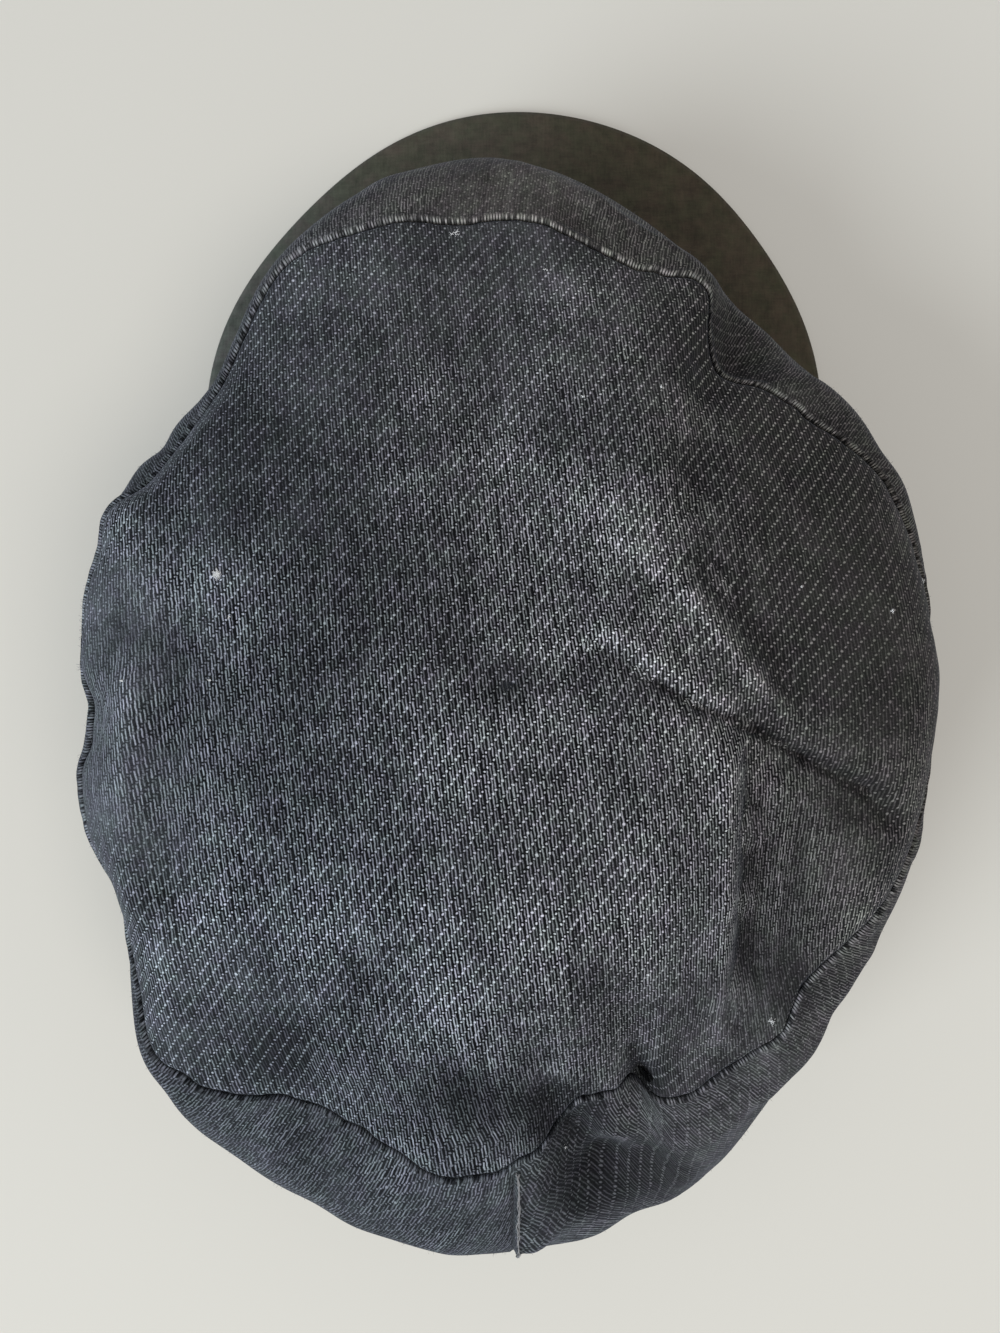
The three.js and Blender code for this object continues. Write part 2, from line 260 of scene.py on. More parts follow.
def seam_at(angle):
    """How far out and how high the top seam lies, its kinks included."""
    section = crown_at(angle)
    out, up = section[..., 0].copy(), section[..., 1].copy()
    for kink_angle, kink_out, kink_up, spread in seam_kinks:
        share = bell(degrees_apart(angle, kink_angle), spread)
        out += kink_out * share
        up += kink_up * share
    for kink_angle, kink_out, spread in fine_kinks:
        out += kink_out * bell(degrees_apart(angle, kink_angle), spread)
    return out, up


print(f"the top seam is {seam_at(0.0)[0]:.0f} mm ahead of the middle and {seam_at(90.0)[0]:.0f} mm beside it")

# %% [markdown]
# The top panel is not a dome. The cloth is slack, so it lies in a low tent with dents: a crease runs from
# the middle to the wearer's right, a ridge stands along that side, and the back sags between the pinches
# in the seam. The panel's height is a table of cross sections, and each fold is a row too, from one point
# to another. A cloth simulation would make other folds than this cap has, so the folds are laid one by one
# where the real ones are.

# %% The top panel's sections and folds
top_sections = [
    # heights 60 and 30 mm to the wearer's left, in the middle, and 30 and 60 mm to the right
    (60, 64, 62, 62, 58),
    (63, 66.5, 64.5, 66.5, 61),
    (70, 70, 68, 71, 64),
    (76, 73, 71.5, 74, 70),
    (80, 77, 75, 77.5, 76),
    (81.5, 82, 82, 83, 79.5),
    (82.5, 84, 86, 86, 79),
    (82, 84.5, 85.5, 86, 75),
    (79, 83, 85, 81, 70),
    (73, 78.5, 80.5, 75, 67),
    (70, 75, 77, 72, 66),
]
first_section, section_step, line_step = -100, 20, 30

main_folds = [
    # from x, y, to x, y, height, half width
    (-14, -8, -48, 9, -1.6, 4),
    (-48, 9, -78, 28, -3, 5),
    (-44, 14, -43, 66, 2, 4.5),
    (-53, 18, -52, 62, -3, 5),
    (-27, -56, -46, -4, 2, 6),
    (-44, -72, -39, -40, -3, 5),
    (81, 2, 81, 46, 3, 5),
    (-28, 86, -24, 68, -3, 5),
    (-10, 94, -6, 80, -3, 5),
]
fine_folds = [
    # the soft start of the long crease, then its sharp line
    (12, -6, 2, 1, -0.7, 5.0),
    (2, 1, -14, -1, -0.6, 4.5),
    (-19, -7, -31, 1, -0.9, 1.5),
    (-31, 1, -38, 5, -1.3, 1.2),
    (-38, 5, -51, 10, -1.6, 1.1),
    (-51, 10, -62, 16, -1.8, 1.1),
    (-62, 16, -76, 23, -2.0, 1.6),
    (-76, 23, -82, 30, -1.8, 2.4),
    # the lit lip ahead of it
    (2, -8, -12, -8, 0.7, 3.2),
    (-12, -8, -20, -11, 0.9, 2.8),
    (-20, -11, -29, -5, 1.2, 3.0),
    (-29, -5, -44, 5, 1.1, 2.4),
    # the ridge on the wearer's right, steep on its outer side
    (-20, -44, -25, -30, 0.6, 4.5),
    (-25, -30, -37, -18, 1.1, 2.8),
    (-37, -18, -50, -1, 1.5, 2.4),
    (-50, -1, -57, 6, 1.1, 2.2),
    (-31, -38, -42, -24, -0.9, 3.0),
    (-42, -24, -57, -2, -1.2, 3.2),
    # the upright ridge, the valley beside it and its fine side folds
    (-44, 17, -45, 46, 1.2, 2.2),
    (-45, 46, -45, 78, 1.2, 2.2),
    (-43, 22, -44, 74, 0.4, 0.9),
    (-49, 15, -49, 74, -1.6, 1.9),
    (-56, 22, -55, 60, 0.7, 2.2),
    (-61, 28, -60, 62, -0.6, 2.4),
    (-40, 60, -38, 78, 0.5, 2.5),
    # soft folds by the pinch at the front
    (-46, -66, -62, -48, -1.1, 3.0),
    (-38, -54, -51, -40, 0.7, 2.5),
    (-35, -40, -42, -32, -0.8, 2.5),
    (-52, -60, -64, -30, 0.5, 4.0),
    # the front's shallow valley
    (14, -72, 2, -44, -0.7, 7.0),
    (-10, -88, -2, -62, 0.6, 6.0),
    # the roll on the wearer's left
    (76, -22, 80, 10, 0.8, 4.0),
    (70, -30, 72, 50, -0.7, 5.0),
    (72, 50, 78, 74, 0.6, 4.0),
    # slack cloth and pits at the back
    (30, 60, 12, 88, -0.7, 6.0),
    (44, 52, 36, 84, 0.5, 5.0),
    (-8, 62, -12, 84, 0.6, 4.0),
    (12, 84, -6, 90, -1.2, 5.0),
    (-9, 97, -8, 88, -2.0, 2.4),
    (-29, 89, -26, 80, -2.0, 2.2),
    (-34, 66, -30, 84, 0.8, 3.0),
    (-37, 78, -47, 70, -0.8, 3.0),
]
print(len(main_folds + fine_folds), "folds in the top panel")

# %% [markdown]
# The panel's height is the smooth surface through the cross sections. Each fold adds a ridge or valley that
# is bell-shaped across its line. Low waves of a few lengths add the slack cloth's unrest.

# %% The top panel's height


def near_line(x, y, fold):
    """1 on the line of a fold, falling away as a bell to each side and past its ends."""
    from_x, from_y, to_x, to_y, _, half_width = fold
    along_x, along_y = to_x - from_x, to_y - from_y
    share = ((x - from_x) * along_x + (y - from_y) * along_y) / (along_x**2 + along_y**2)
    share = np.clip(share, 0, 1)
    return bell(np.hypot(x - from_x - share * along_x, y - from_y - share * along_y), half_width)


def ripple(x, y, lengths, seed):
    """A low, even unrest of the cloth, as crossing waves of the given lengths."""
    dice = np.random.default_rng(seed)
    total = 0
    for length in lengths:
        turn, phase = dice.uniform(0, 2 * np.pi, 2)
        total = total + np.sin(2 * np.pi * (x * np.cos(turn) + y * np.sin(turn)) / length + phase)
    return total / len(lengths)


def table_height(x, y):
    table = np.array(top_sections, float)
    last_row, last_line = table.shape[0] - 1, table.shape[1] - 1
    row_place = np.clip((y - first_section) / section_step, 0, last_row)
    line_place = np.clip(last_line / 2 - x / line_step, 0, last_line)
    row = np.minimum(np.floor(row_place).astype(int), last_row - 1)
    line = np.minimum(np.floor(line_place).astype(int), last_line - 1)

    def across(step):
        rows = np.clip(row + step, 0, last_row)
        near = [table[rows, np.clip(line + side, 0, last_line)] for side in (-1, 0, 1, 2)]
        return catmull_rom(*near, line_place - line)

    return catmull_rom(across(-1), across(0), across(1), across(2), row_place - row)


top_ripples = [
    # height, wave lengths, seed
    (0.35, (34, 27, 41, 23), 3),
    (0.12, (11, 14, 9, 17, 12), 8),
]


def top_height(x, y):
    height = table_height(x, y)
    for fold in main_folds + fine_folds:
        height = height + fold[4] * near_line(x, y, fold)
    return height + sum(high * ripple(x, y, lengths, seed) for high, lengths, seed in top_ripples)


print(f"the crown is {top_height(np.array(0.0), np.array(20.0)):.1f} mm high behind its middle")

# %% [markdown]
# The two pieces of the crown are sewn inside out and turned, so their edges meet in a ditch. The top
# panel turns down into it on a small round. The side strip comes up out of it in a narrow roll, where
# four layers of turned-in cloth lie under it. Nothing there is quite even: the seam wobbles, its ditch
# grows deeper at the stitches, the thread gathers the cloth, and in three places the slack cloth is
# swallowed. Sculpting could do this too, but waves of a few lengths are even along the whole seam.

# %% Along the seam
seam_radius = 100
wobble_size, pucker_size = 0.15, 0.22
ditch_depth, ditch_half_width = 0.80, 0.5
ditch_mean, ditch_unrest = 0.72, 0.5
seam_pits = [
    # x, y, half width, depth, where the slack cloth is swallowed by the seam
    (-28.5, 86.5, 3.2, 4.5),
    (-11, 97, 3.5, 2.5),
    (-42, -74, 4, 1.5),
]


def spots(x, y, table):
    """The sum of round spots, from rows of x, y, half width and amount."""
    return sum(amount * bell(np.hypot(x - px, y - py), half_width) for px, py, half_width, amount in table)


def seam_ripple(angle, lengths, seed):
    place = np.radians(angle) * seam_radius
    return ripple(place, 0 * place, lengths, seed)


def seam_wobble(angle):
    """The hand-led seam's small unevenness."""
    return wobble_size * seam_ripple(angle, (7.5, 11, 9, 16), seed=41)


def ditch_at(angle):
    """The ditch's depth along the seam: the stitches pull it deeper, and the turned edge lifts between."""
    return ditch_depth * (ditch_mean + ditch_unrest * seam_ripple(angle, (2.6, 3.7, 5.5, 9), seed=61))


def pucker(angle, seed):
    """The small gathers that the seam's thread pulls into the cloth."""
    return seam_ripple(angle, (7.5, 10, 6, 13), seed)


ring_angles = np.arange(0, 360, 0.5)
print(f"the ditch is {ditch_at(ring_angles).mean():.2f} mm deep on average")

# %% [markdown]
# The panel is drawn in rings about the crown's middle, from share 0 there to share 1 at the seam. The rings
# crowd at the seam, where the cloth bends within a millimetre. A square grid would cut the seam in steps.

# %% The top panel's surface
turn_down_from, roll_from, wobble_from = 0.84, 0.78, 0.9
gathers_at = 3.5


def shoulder_at(share):
    """The small round that turns the panel down to the seam: 0 on top, 1 at the seam."""
    turn = np.clip((share - turn_down_from) / (1 - turn_down_from), 0, 1)
    return 1 - np.sqrt(1 - turn**2)


def top_point(angle, share):
    """The top panel's outer face, with share 0 at the crown's middle and 1 at the seam."""
    seam_out, seam_up = seam_at(angle)
    roll = crown_at(angle)[..., 4] * np.sin(np.pi * rise(roll_from, 1, share))
    out = seam_out * share + roll + seam_wobble(angle) * rise(wobble_from, 1, share)
    x, y = out * np.sin(np.radians(angle)), -out * np.cos(np.radians(angle))
    z = top_height(x, y) * (1 - shoulder_at(share)) + seam_up * shoulder_at(share)
    to_seam = seam_out * (1 - share)
    z = z - ditch_at(angle) * bell(to_seam, ditch_half_width)
    z = z + pucker_size * pucker(angle, 5) * bell(to_seam - gathers_at, gathers_at) - spots(x, y, seam_pits)
    return np.stack([x + crown_middle[0], y + crown_middle[1], z], -1)


inner_rings = np.linspace(0, 0.9, 104)
edge_percents = [9.2, 8.3, 7.4, 6.5, 5.6, 4.8, 4.0, 3.3, 2.7, 2.2, 1.75, 1.35, 1.0, 0.7, 0.45, 0.22, 0]
top_shares = np.concatenate([inner_rings, 1 - np.array(edge_percents) / 100])
angle_grid, share_grid = np.meshgrid(ring_angles, top_shares, indexing="ij")
top_grid = top_point(angle_grid, share_grid)
print("the top panel's grid:", top_grid.shape)

# %% [markdown]
# The weave must follow the cloth, so each point needs its place on the flat cloth, before it was sewn.
# Threads don't stretch. So the place across the cloth is measured along the surface from the middle line,
# and the place along it in the same way, and the warp leans 5 degrees as the real cap's does. On the
# steep last millimetres before the seam the measure goes straight out instead. The folds at the back pull
# the grain askew: a row of grain_pulls shifts the cloth's place round one spot, across the warp or along
# it, so that the twill's lines bend there. Blender's own unwrapping would lose the threads' direction.

# %% The top panel's place on the flat cloth
warp_lean = math.radians(5.4)
flat_from = 0.93
steepest_slope = 3
measure_reach, measure_step = 130, 1.0
grain_pulls = [
    # x, y, half width, half length, pull across the warp, pull along it
    (-23, 80, 11, 11, 0, 5.5),
    (-48, 76, 11, 11, 0, -5.5),
    (-4, 108, 22, 14, 6, 0),
    (45, 95, 18, 14, 4, 0),
    (-70, 62, 26, 34, -7, 0),
    (-40, 95, 14, 22, -5, 0),
]


def steep_length(heights, step):
    """How long the surface is from the middle of each row of heights, for steps of the given size."""
    slope = np.clip(np.gradient(heights, step, axis=1), -steepest_slope, steepest_slope)
    length = np.sqrt(1 + slope**2)
    so_far = np.cumsum((length[:, 1:] + length[:, :-1]) / 2 * step, 1)
    total = np.concatenate([np.zeros((len(length), 1)), so_far], 1)
    return total - total[:, [heights.shape[1] // 2]]


def sample(grid, low, step, first, second):
    """A value between the points of a square grid."""
    a, b = (first - low) / step, (second - low) / step
    i = np.clip(np.floor(a).astype(int), 0, grid.shape[0] - 2)
    j = np.clip(np.floor(b).astype(int), 0, grid.shape[1] - 2)
    a, b = a - i, b - j
    near = grid[i, j] * (1 - a) * (1 - b) + grid[i + 1, j] * a * (1 - b)
    return near + grid[i, j + 1] * (1 - a) * b + grid[i + 1, j + 1] * a * b


def lean(x, y, turn):
    return x * math.cos(turn) + y * math.sin(turn), -x * math.sin(turn) + y * math.cos(turn)


def slack_heights():
    """The panel's heights without its folds, on a square grid that leans with the warp."""
    line = np.arange(-measure_reach, measure_reach + measure_step, measure_step)
    x, y = lean(*np.meshgrid(line, line, indexing="xy"), -warp_lean)
    angle = np.degrees(np.arctan2(x, -y))
    seam_out, seam_up = seam_at(angle)
    shoulder = shoulder_at(np.clip(np.hypot(x, y) / seam_out, 0, flat_from))
    return table_height(x, y) * (1 - shoulder) + seam_up * shoulder


def straight_out(flat):
    """The last rings' places, measured straight out from the ring where the round begins."""
    last = int(np.sum(top_shares <= flat_from)) - 1
    steps = np.linalg.norm(np.diff(top_grid[:, last:], axis=1), axis=-1)
    out = np.concatenate([np.zeros((len(flat), 1)), np.cumsum(steps, 1)], 1)
    turn = np.radians(ring_angles)[:, None]
    way = np.stack(lean(np.sin(turn), -np.cos(turn), warp_lean), -1)
    flat[:, last:] = flat[:, [last]] + out[..., None] * way
    return flat


def flat_place_of_top():
    heights = slack_heights()
    x, y = top_grid[..., 0] - crown_middle[0], top_grid[..., 1] - crown_middle[1]
    a, b = lean(x, y, warp_lean)
    u = sample(steep_length(heights, measure_step), -measure_reach, measure_step, b, a)
    v = sample(steep_length(heights.T, measure_step), -measure_reach, measure_step, a, b)
    for pull_x, pull_y, half_width, half_length, pull_u, pull_v in grain_pulls:
        share = bell(x - pull_x, half_width) * bell(y - pull_y, half_length)
        u, v = u + pull_u * share, v + pull_v * share
    return straight_out(np.stack([u, v], -1))


top_flat = flat_place_of_top()
top_cut = [float(np.ptp(top_flat[..., k])) for k in (0, 1)]
print(f"the top panel was cut from {top_cut[0]:.0f} by {top_cut[1]:.0f} mm of cloth")

# %% [markdown]
# The side strip goes round the crown from the seam, over its widest ring and in to the headband. Its
# profile is two quarter rounds, and its long folds push that profile in or out, each from one angle and
# way down to another.

# %% The side strip's surface
seam_gap = 0.5
band_half_length, band_half_width, band_gap = 100, 81, 0.3
side_lands_at = 32.5
side_reach = 40
free_from, free_to = (0, 0.25), (1.2, 1.7)
side_folds = [
    # from angle, down, to angle, down, height, half width
    (189, 0.15, 193, 0.7, -4.5, 8),
    (203, 0.15, 232, 0.55, 3, 7),
    (240, 0.4, 212, 0.95, -2.5, 8),
    (154, 0.25, 173, 0.5, 2, 9),
    (55, 0.1, 57, 0.9, -2, 5),
    (322, 0.1, 318, 0.8, -2.5, 8),
    (176, 0.78, 200, 0.8, 1.2, 4),
    (200, 0.8, 216, 0.7, 0.8, 4),
    (196, 0.1, 199, 0.6, 1.2, 3),
    (207, 0.1, 210, 0.5, -0.8, 3),
    (222, 0.15, 226, 0.8, -0.8, 4),
    (340, 0.35, 5, 0.35, 1.1, 4),
    (342, 0.6, 358, 0.75, -0.9, 5),
    (12, 0.3, 16, 0.9, 0.6, 5),
    (160, 0.4, 158, 0.95, -0.7, 6),
    (140, 0.2, 147, 0.9, 0.7, 5),
    (85, 0.1, 88, 0.9, -0.8, 5),
    (100, 0.1, 104, 0.9, 0.7, 5),
    (276, 0.2, 283, 0.9, -0.7, 6),
    (300, 0.2, 296, 0.9, 0.8, 6),
    (248, 0.2, 252, 0.9, 0.7, 6),
    (195, 0.22, 219, 0.12, 1.0, 2.4),
]
rim_kinks = [
    # angle, out, spread in degrees, where the widest ring is a little slack
    (120, -2.0, 4),
    (171, -1.8, 5),
    (183, -1.4, 6),
    (200, -1.9, 2.5),
    (216, -1.3, 3),
    (301, -1.7, 5),
]


def around(angle, out, up):
    turn = np.radians(angle)
    return np.stack([crown_middle[0] + out * np.sin(turn), crown_middle[1] - out * np.cos(turn), up], -1)


def band_out(angle):
    turn = np.radians(angle)
    return 1 / np.hypot(np.sin(turn) / band_half_width, np.cos(turn) / band_half_length)


def widest_at(angle):
    """How far out and how high the crown's widest ring lies."""
    section = crown_at(angle)
    out = section[..., 2]
    for kink_angle, kink_out, spread in rim_kinks:
        out = out + kink_out * bell(degrees_apart(angle, kink_angle), spread)
    return out, section[..., 3]


def side_profile(angle, down):
    """Distance out and height, with down 0 at the seam, 1 at the widest ring and 2 at the headband."""
    seam_out, seam_up = seam_at(angle)
    wide_out, wide_up = widest_at(angle)
    turn = np.where(down <= 1, down, down - 1) * np.pi / 2
    over_out = seam_out + seam_gap + (wide_out - seam_out - seam_gap) * np.sin(turn)
    over_up = wide_up + (seam_up - wide_up) * np.cos(turn)
    land_out = band_out(angle) + band_gap
    under_out = land_out + (wide_out - land_out) * np.cos(turn)
    under_up = wide_up + (side_lands_at - wide_up) * np.sin(turn)
    out = np.where(down <= 1, over_out, under_out)
    up = np.where(down <= 1, over_up, under_up)
    free = rise(*free_from, down) * (1 - rise(*free_to, down))
    for fold in side_folds:
        round_way = np.radians(degrees_apart(angle, fold[0])) * wide_out
        end = np.radians(degrees_apart(fold[2], fold[0])) * wide_out
        line = (0, fold[1] * side_reach, end, fold[3] * side_reach, fold[4], fold[5])
        out = out + fold[4] * free * near_line(round_way, down * side_reach, line)
    return out, up


front_reach, back_reach = widest_at(np.array([0.0, 180.0]))[0]
print(f"the widest ring is {front_reach:.0f} mm ahead of the middle and {back_reach:.0f} mm behind")

# %% [markdown]
# Small relief stands on that profile: the roll along the seam, dents, the thread's gathers, and the upright
# seam at the back, where a thin ridge stands beside the ditch. The profile is drawn finely from the seam
# outwards, then measured and cut into even steps, so that the cloth keeps its length.

# %% The side strip's small relief
strip_dents = [
    # angle, millimetres from the seam, half width, depth
    (187, 8, 6, 4),
    (190, 20, 8, 7),
    (195, 23, 8, 3),
    (182, 29, 5, -2),
    (192, 10, 3, -1.2),
    (325, 6, 7, 3.5),
    (352, 5, 5, 2),
    (350, 13, 4, -1),
    (1, 9, 4, 1.3),
    (0, 15, 4, -0.8),
]
steps_by_seam = [0, 0.25, 0.5, 0.75, 1.0, 1.3, 1.6, 1.9, 2.3, 2.8, 3.5, 4.4, 5.4]
far_from, far_steps = 6, 58
roll_height, roll_from_seam, roll_half_width, strip_ditch_half_width = 0.5, 0.8, 0.55, 0.28
dents_from, waves_from, back_seam_from = (0, 2.5), (3, 12), (2, 4)
gather_size, fine_gather_size, strip_gathers_at, gathers_half_width = 0.12, 0.1, 2.5, 3.0
strip_radius, wave_size = 115, 0.18
back_ridge, back_ridge_half_width, back_ditch_half_width = 0.7, 0.7, 0.5
back_ridge_from_seam, wobble_half_width = 0.9, 4


def strip_lift(angle, out, steps):
    """How far the strip's face stands proud of its smooth profile, at each step down from the seam."""
    lift = roll_height * bell(steps - roll_from_seam, roll_half_width)
    lift = lift - ditch_at(angle) * bell(steps, strip_ditch_half_width)
    for dent_angle, dent_way, half_width, depth in strip_dents:
        round_way = np.radians(degrees_apart(angle, dent_angle)) * out
        dent = depth * bell(np.hypot(round_way, steps - dent_way), half_width)
        lift = lift - dent * rise(*dents_from, steps)
    gathers = gather_size * pucker(angle, 5) + fine_gather_size * pucker(3 * angle, 9)
    lift = lift + gathers * bell(steps - strip_gathers_at, gathers_half_width)
    waves = ripple(np.radians(angle) * strip_radius, steps, (19, 26, 14, 33), seed=12)
    lift = lift + wave_size * waves * rise(*waves_from, steps)
    from_back = np.radians(degrees_apart(angle, 180)) * out
    ridge = bell(from_back - back_ridge_from_seam, back_ridge_half_width)
    return lift + back_ridge * (ridge - bell(from_back, back_ditch_half_width)) * rise(*back_seam_from, steps)


def side_grid_of(angles):
    """For each angle, the strip's points at even steps along its profile, and each point's way down."""
    points, ways = [], []
    fine_down = np.linspace(0, 2, 801)
    for angle in angles:
        out, up = side_profile(np.full(fine_down.shape, angle), fine_down)
        way = np.concatenate([[0], np.cumsum(np.hypot(np.diff(out), np.diff(up)))])
        steps = np.concatenate([steps_by_seam, np.linspace(far_from, way[-1], far_steps + 1)[1:]])
        out, up = np.interp(steps, way, out), np.interp(steps, way, up)
        slope_out, slope_up = np.gradient(out, steps), np.gradient(up, steps)
        size = np.hypot(slope_out, slope_up)
        lift = strip_lift(angle, out, steps)
        out = out + seam_wobble(angle) * bell(steps, wobble_half_width) - lift * (slope_up / size)
        points.append(around(np.full(out.shape, angle), out, up + lift * (slope_out / size)))
        ways.append(steps)
    points = np.array(points)
    points[..., 2] -= spots(points[..., 0] - crown_middle[0], points[..., 1] - crown_middle[1], seam_pits)
    return points, np.array(ways)


back_angles = 180 + np.linspace(-2.4, 2.4, 33)
far_from_back = ring_angles[np.abs(degrees_apart(ring_angles, 180)) > 2.6]
side_angles = np.sort(np.concatenate([far_from_back, back_angles]))
side_grid, side_way = side_grid_of(side_angles)
front_width, back_width = side_way[0, -1], side_way[len(side_way) // 2, -1]
print("the side strip's grid:", side_grid.shape)
print(f"the strip is {front_width:.0f} mm wide at the front and {back_width:.0f} mm at the back")

# %% [markdown]
# The strip's warp runs down it. The strip was cut in a curve, so its threads lean off the straight way
# down, and they lean opposite ways on the two sides of the back seam. A short table gives the lean round
# the crown. Round the kinks of the seam the cloth is longer than the angle says, so its length is
# measured there.

# %% The side strip's place on the flat cloth
flat_strip_radius = 112
slow_spread = 15
strip_leans = [
    # angle round the crown, lean in degrees
    (0, 8),
    (15, 16),
    (60, 14),
    (120, 10),
    (150, 9),
    (165, 16),
    (179.99, 27),
    (180.01, -25),
    (192, -30),
    (215, -16),
    (235, -13),
    (300, -8),
    (345, 0),
    (360, 8),
]


def slow_mean(steps, angles, spread):
    """Each step between neighbours, at the rate that its wide surroundings have."""
    turned = np.diff(angles, prepend=angles[-1] - 360)
    rate = steps / turned
    share = bell(degrees_apart(angles[:, None], angles[None, :]), spread) * turned[None, :]
    return (share @ rate) / share.sum(1) * turned


def flat_place_of_side():
    steps = np.linalg.norm(np.diff(side_grid, axis=0, prepend=side_grid[-1:]), axis=-1)
    smooth_steps = np.array([slow_mean(row, side_angles, slow_spread) for row in steps.T]).T
    turned = np.diff(side_angles, prepend=side_angles[-1] - 360)[:, None]
    round_way = np.cumsum(steps / smooth_steps * np.radians(turned) * flat_strip_radius, 0)
    turn = np.radians(np.interp(side_angles, *np.array(strip_leans).T))
    u = round_way + side_way * np.sin(turn)[:, None]
    v = -side_way * np.cos(turn)[:, None]
    return np.stack([u, v], -1)


side_flat = flat_place_of_side()
print("the strip's cloth is", round(float(np.ptp(side_flat[..., 0]))), "mm long")

# %% [markdown]
# The headband is an upright oval wall, doubled at its rim, where the cloth folds back inside. Most of it
# hides under the crown, and the peak is sewn to its front. It is finished plainly: one closed section,
# swept round the oval, with a round rim and the dip of one line of stitches above it. It rises at the
# front, over the peak.

# %% The headband's surface
band_height, band_lift, lift_ends_at = 37, 10, 66
band_thickness, band_radius = 2.6, 90
rim_round, rim_taper, band_wave = 1.0, 0.55, 0.15
stitches_up, stitch_dip, stitch_half_width = 6.5, 0.18, 0.5


def rim_height(angle):
    return band_lift * (1 - rise(0, lift_ends_at, np.abs(degrees_apart(angle, 0))))


band_angles = np.arange(0, 360, 1.25)
band_rows = np.concatenate([np.linspace(0, 0.88, 16), [0.91, 0.935, 0.955, 0.972, 0.985, 0.994, 1]])


def band_section(angle):
    """A closed section of the headband: down its outer face, round the rim and up its inner face."""
    rim = rim_height(angle)
    up = band_height + (rim - band_height) * band_rows
    to_rim = up - rim
    over_round = 1 - np.clip(to_rim / rim_round, 0, 1)
    round_in = band_thickness / 2 * (1 - np.sqrt(np.clip(1 - over_round**2, 0, 1))) * rim_taper
    stitches = stitch_dip * bell(to_rim - stitches_up, stitch_half_width)
    wave = band_wave * ripple(np.radians(angle) * band_radius, up, (24, 31, 17), seed=21) * rise(0, 3, to_rim)
    outer = band_out(angle) - round_in - stitches + wave
    inner = band_out(angle) - band_thickness + round_in + wave
    face = around(np.full(up.shape, angle), outer, up)
    back = around(np.full(up.shape, angle), inner, up)
    return np.concatenate([face, back[::-1]])


band_grid = np.array([band_section(angle) for angle in band_angles])
band_way = band_height * np.concatenate([band_rows, 2 - band_rows[::-1]])
band_flat = np.stack(np.meshgrid(np.radians(band_angles) * band_radius, -band_way, indexing="ij"), -1)
print("the headband's grid:", band_grid.shape)

# %% [markdown]
# The peak is a stiff board with cloth drawn over it. Its outline is one arc about its own middle, a little
# flat on both shoulders and drawn in at its two ends. The cloth is turned under at the edge, which makes
# the edge round and a little thicker than the board. A section runs out from the headband over the top,
# round the edge and back underneath, and the peak is a fan of such sections.

# %% The peak's surface
peak_middle = np.array([-0.6, -61.1])
peak_radius, peak_thickness, peak_half_angle = 88.6, 2.6, 111
peak_shoulders = [
    # angle, inwards, spread in degrees
    (46, 4.2, 26),
    (-55, 1.6, 18),
]
root_top_front, root_top_side, edge_top, camber = 12.9, 3.4, 3.3, 1.6
root_gap, ends_drawn_in, ends_from, peak_wave = 0.4, 8.2, 84, 0.12
piping_height, piping_from_edge, piping_half_width = 0.25, 1.9, 1.2
piping_room, piping_grows = 3, (0.3, 1.5)


def peak_root(angle):
    """From the peak's middle to its inner edge, just off the headband."""
    turn = math.radians(angle)
    step = np.array([math.sin(turn) / band_half_width, -math.cos(turn) / band_half_length])
    start = (peak_middle - crown_middle) / np.array([band_half_width, band_half_length])
    a, b, c = step @ step, start @ step, start @ start - 1
    return (-b + math.sqrt(b * b - a * c)) / a + root_gap


peak_ways = np.concatenate([np.linspace(0, 0.93, 34), [0.945, 0.958, 0.97, 0.98, 0.988, 0.994, 1]])
edge_turns = np.radians(np.linspace(80, -80, 9))


def peak_edge(angle, root):
    """From the peak's middle to its outer edge."""
    arc = peak_radius - ends_drawn_in * rise(ends_from, peak_half_angle, abs(angle))
    arc -= sum(inwards * bell(angle - middle, spread) for middle, inwards, spread in peak_shoulders)
    return max(arc, root + peak_thickness)


def peak_section(share):
    """A closed section of the peak; share runs from -1 at one end to 1 at the other."""
    angle = share * peak_half_angle
    root = peak_root(angle)
    edge = peak_edge(angle, root)
    nose = peak_thickness / 2
    root_top = root_top_front + (root_top_side - root_top_front) * rise(0, 1, abs(share))
    out = root + (edge - nose - root) * peak_ways
    arch = camber * np.sin(np.pi * peak_ways) * math.cos(share * math.pi / 2)
    up = root_top + (edge_top - root_top) * peak_ways + arch
    wide_enough = rise(*piping_grows, edge - root - piping_room)
    piping = piping_height * bell(edge - out - piping_from_edge, piping_half_width) * wide_enough
    to_side, to_front = math.sin(math.radians(angle)), math.cos(math.radians(angle))
    unrest = peak_wave * ripple(out * to_side, out * to_front, (22, 31, 15), seed=31)
    top = np.stack([out, up + piping + unrest * np.sin(np.pi * peak_ways)], -1)
    rim = np.stack([edge - nose + nose * np.cos(edge_turns), edge_top - nose + nose * np.sin(edge_turns)], -1)
    under = np.stack([out, up - peak_thickness], -1)[::-1]
    out, up = np.concatenate([top, rim, under]).T
    return np.stack([peak_middle[0] + out * to_side, peak_middle[1] - out * to_front, up], -1)


even_shares, crowded = np.linspace(-1, 1, 181), 0.35
peak_shares = np.sin(even_shares * np.pi / 2) * crowded + even_shares * (1 - crowded)
peak_grid = np.array([peak_section(share) for share in peak_shares])
print("the peak's grid:", peak_grid.shape)

# %% [markdown]
# A grid of points becomes a mesh of four-sided faces. Each corner also keeps its place on the flat cloth,
# in metres, as a UV map, which the weave reads. A single cloth has an inner face too, one thickness behind
# the outer one. A Solidify modifier would copy every fine fold to the inside, where nobody sees it, so
# the inner face is made here from every few rows of the outer grid.

# %% From grids to meshes
cloth_thickness = 1.3
metres = 0.001


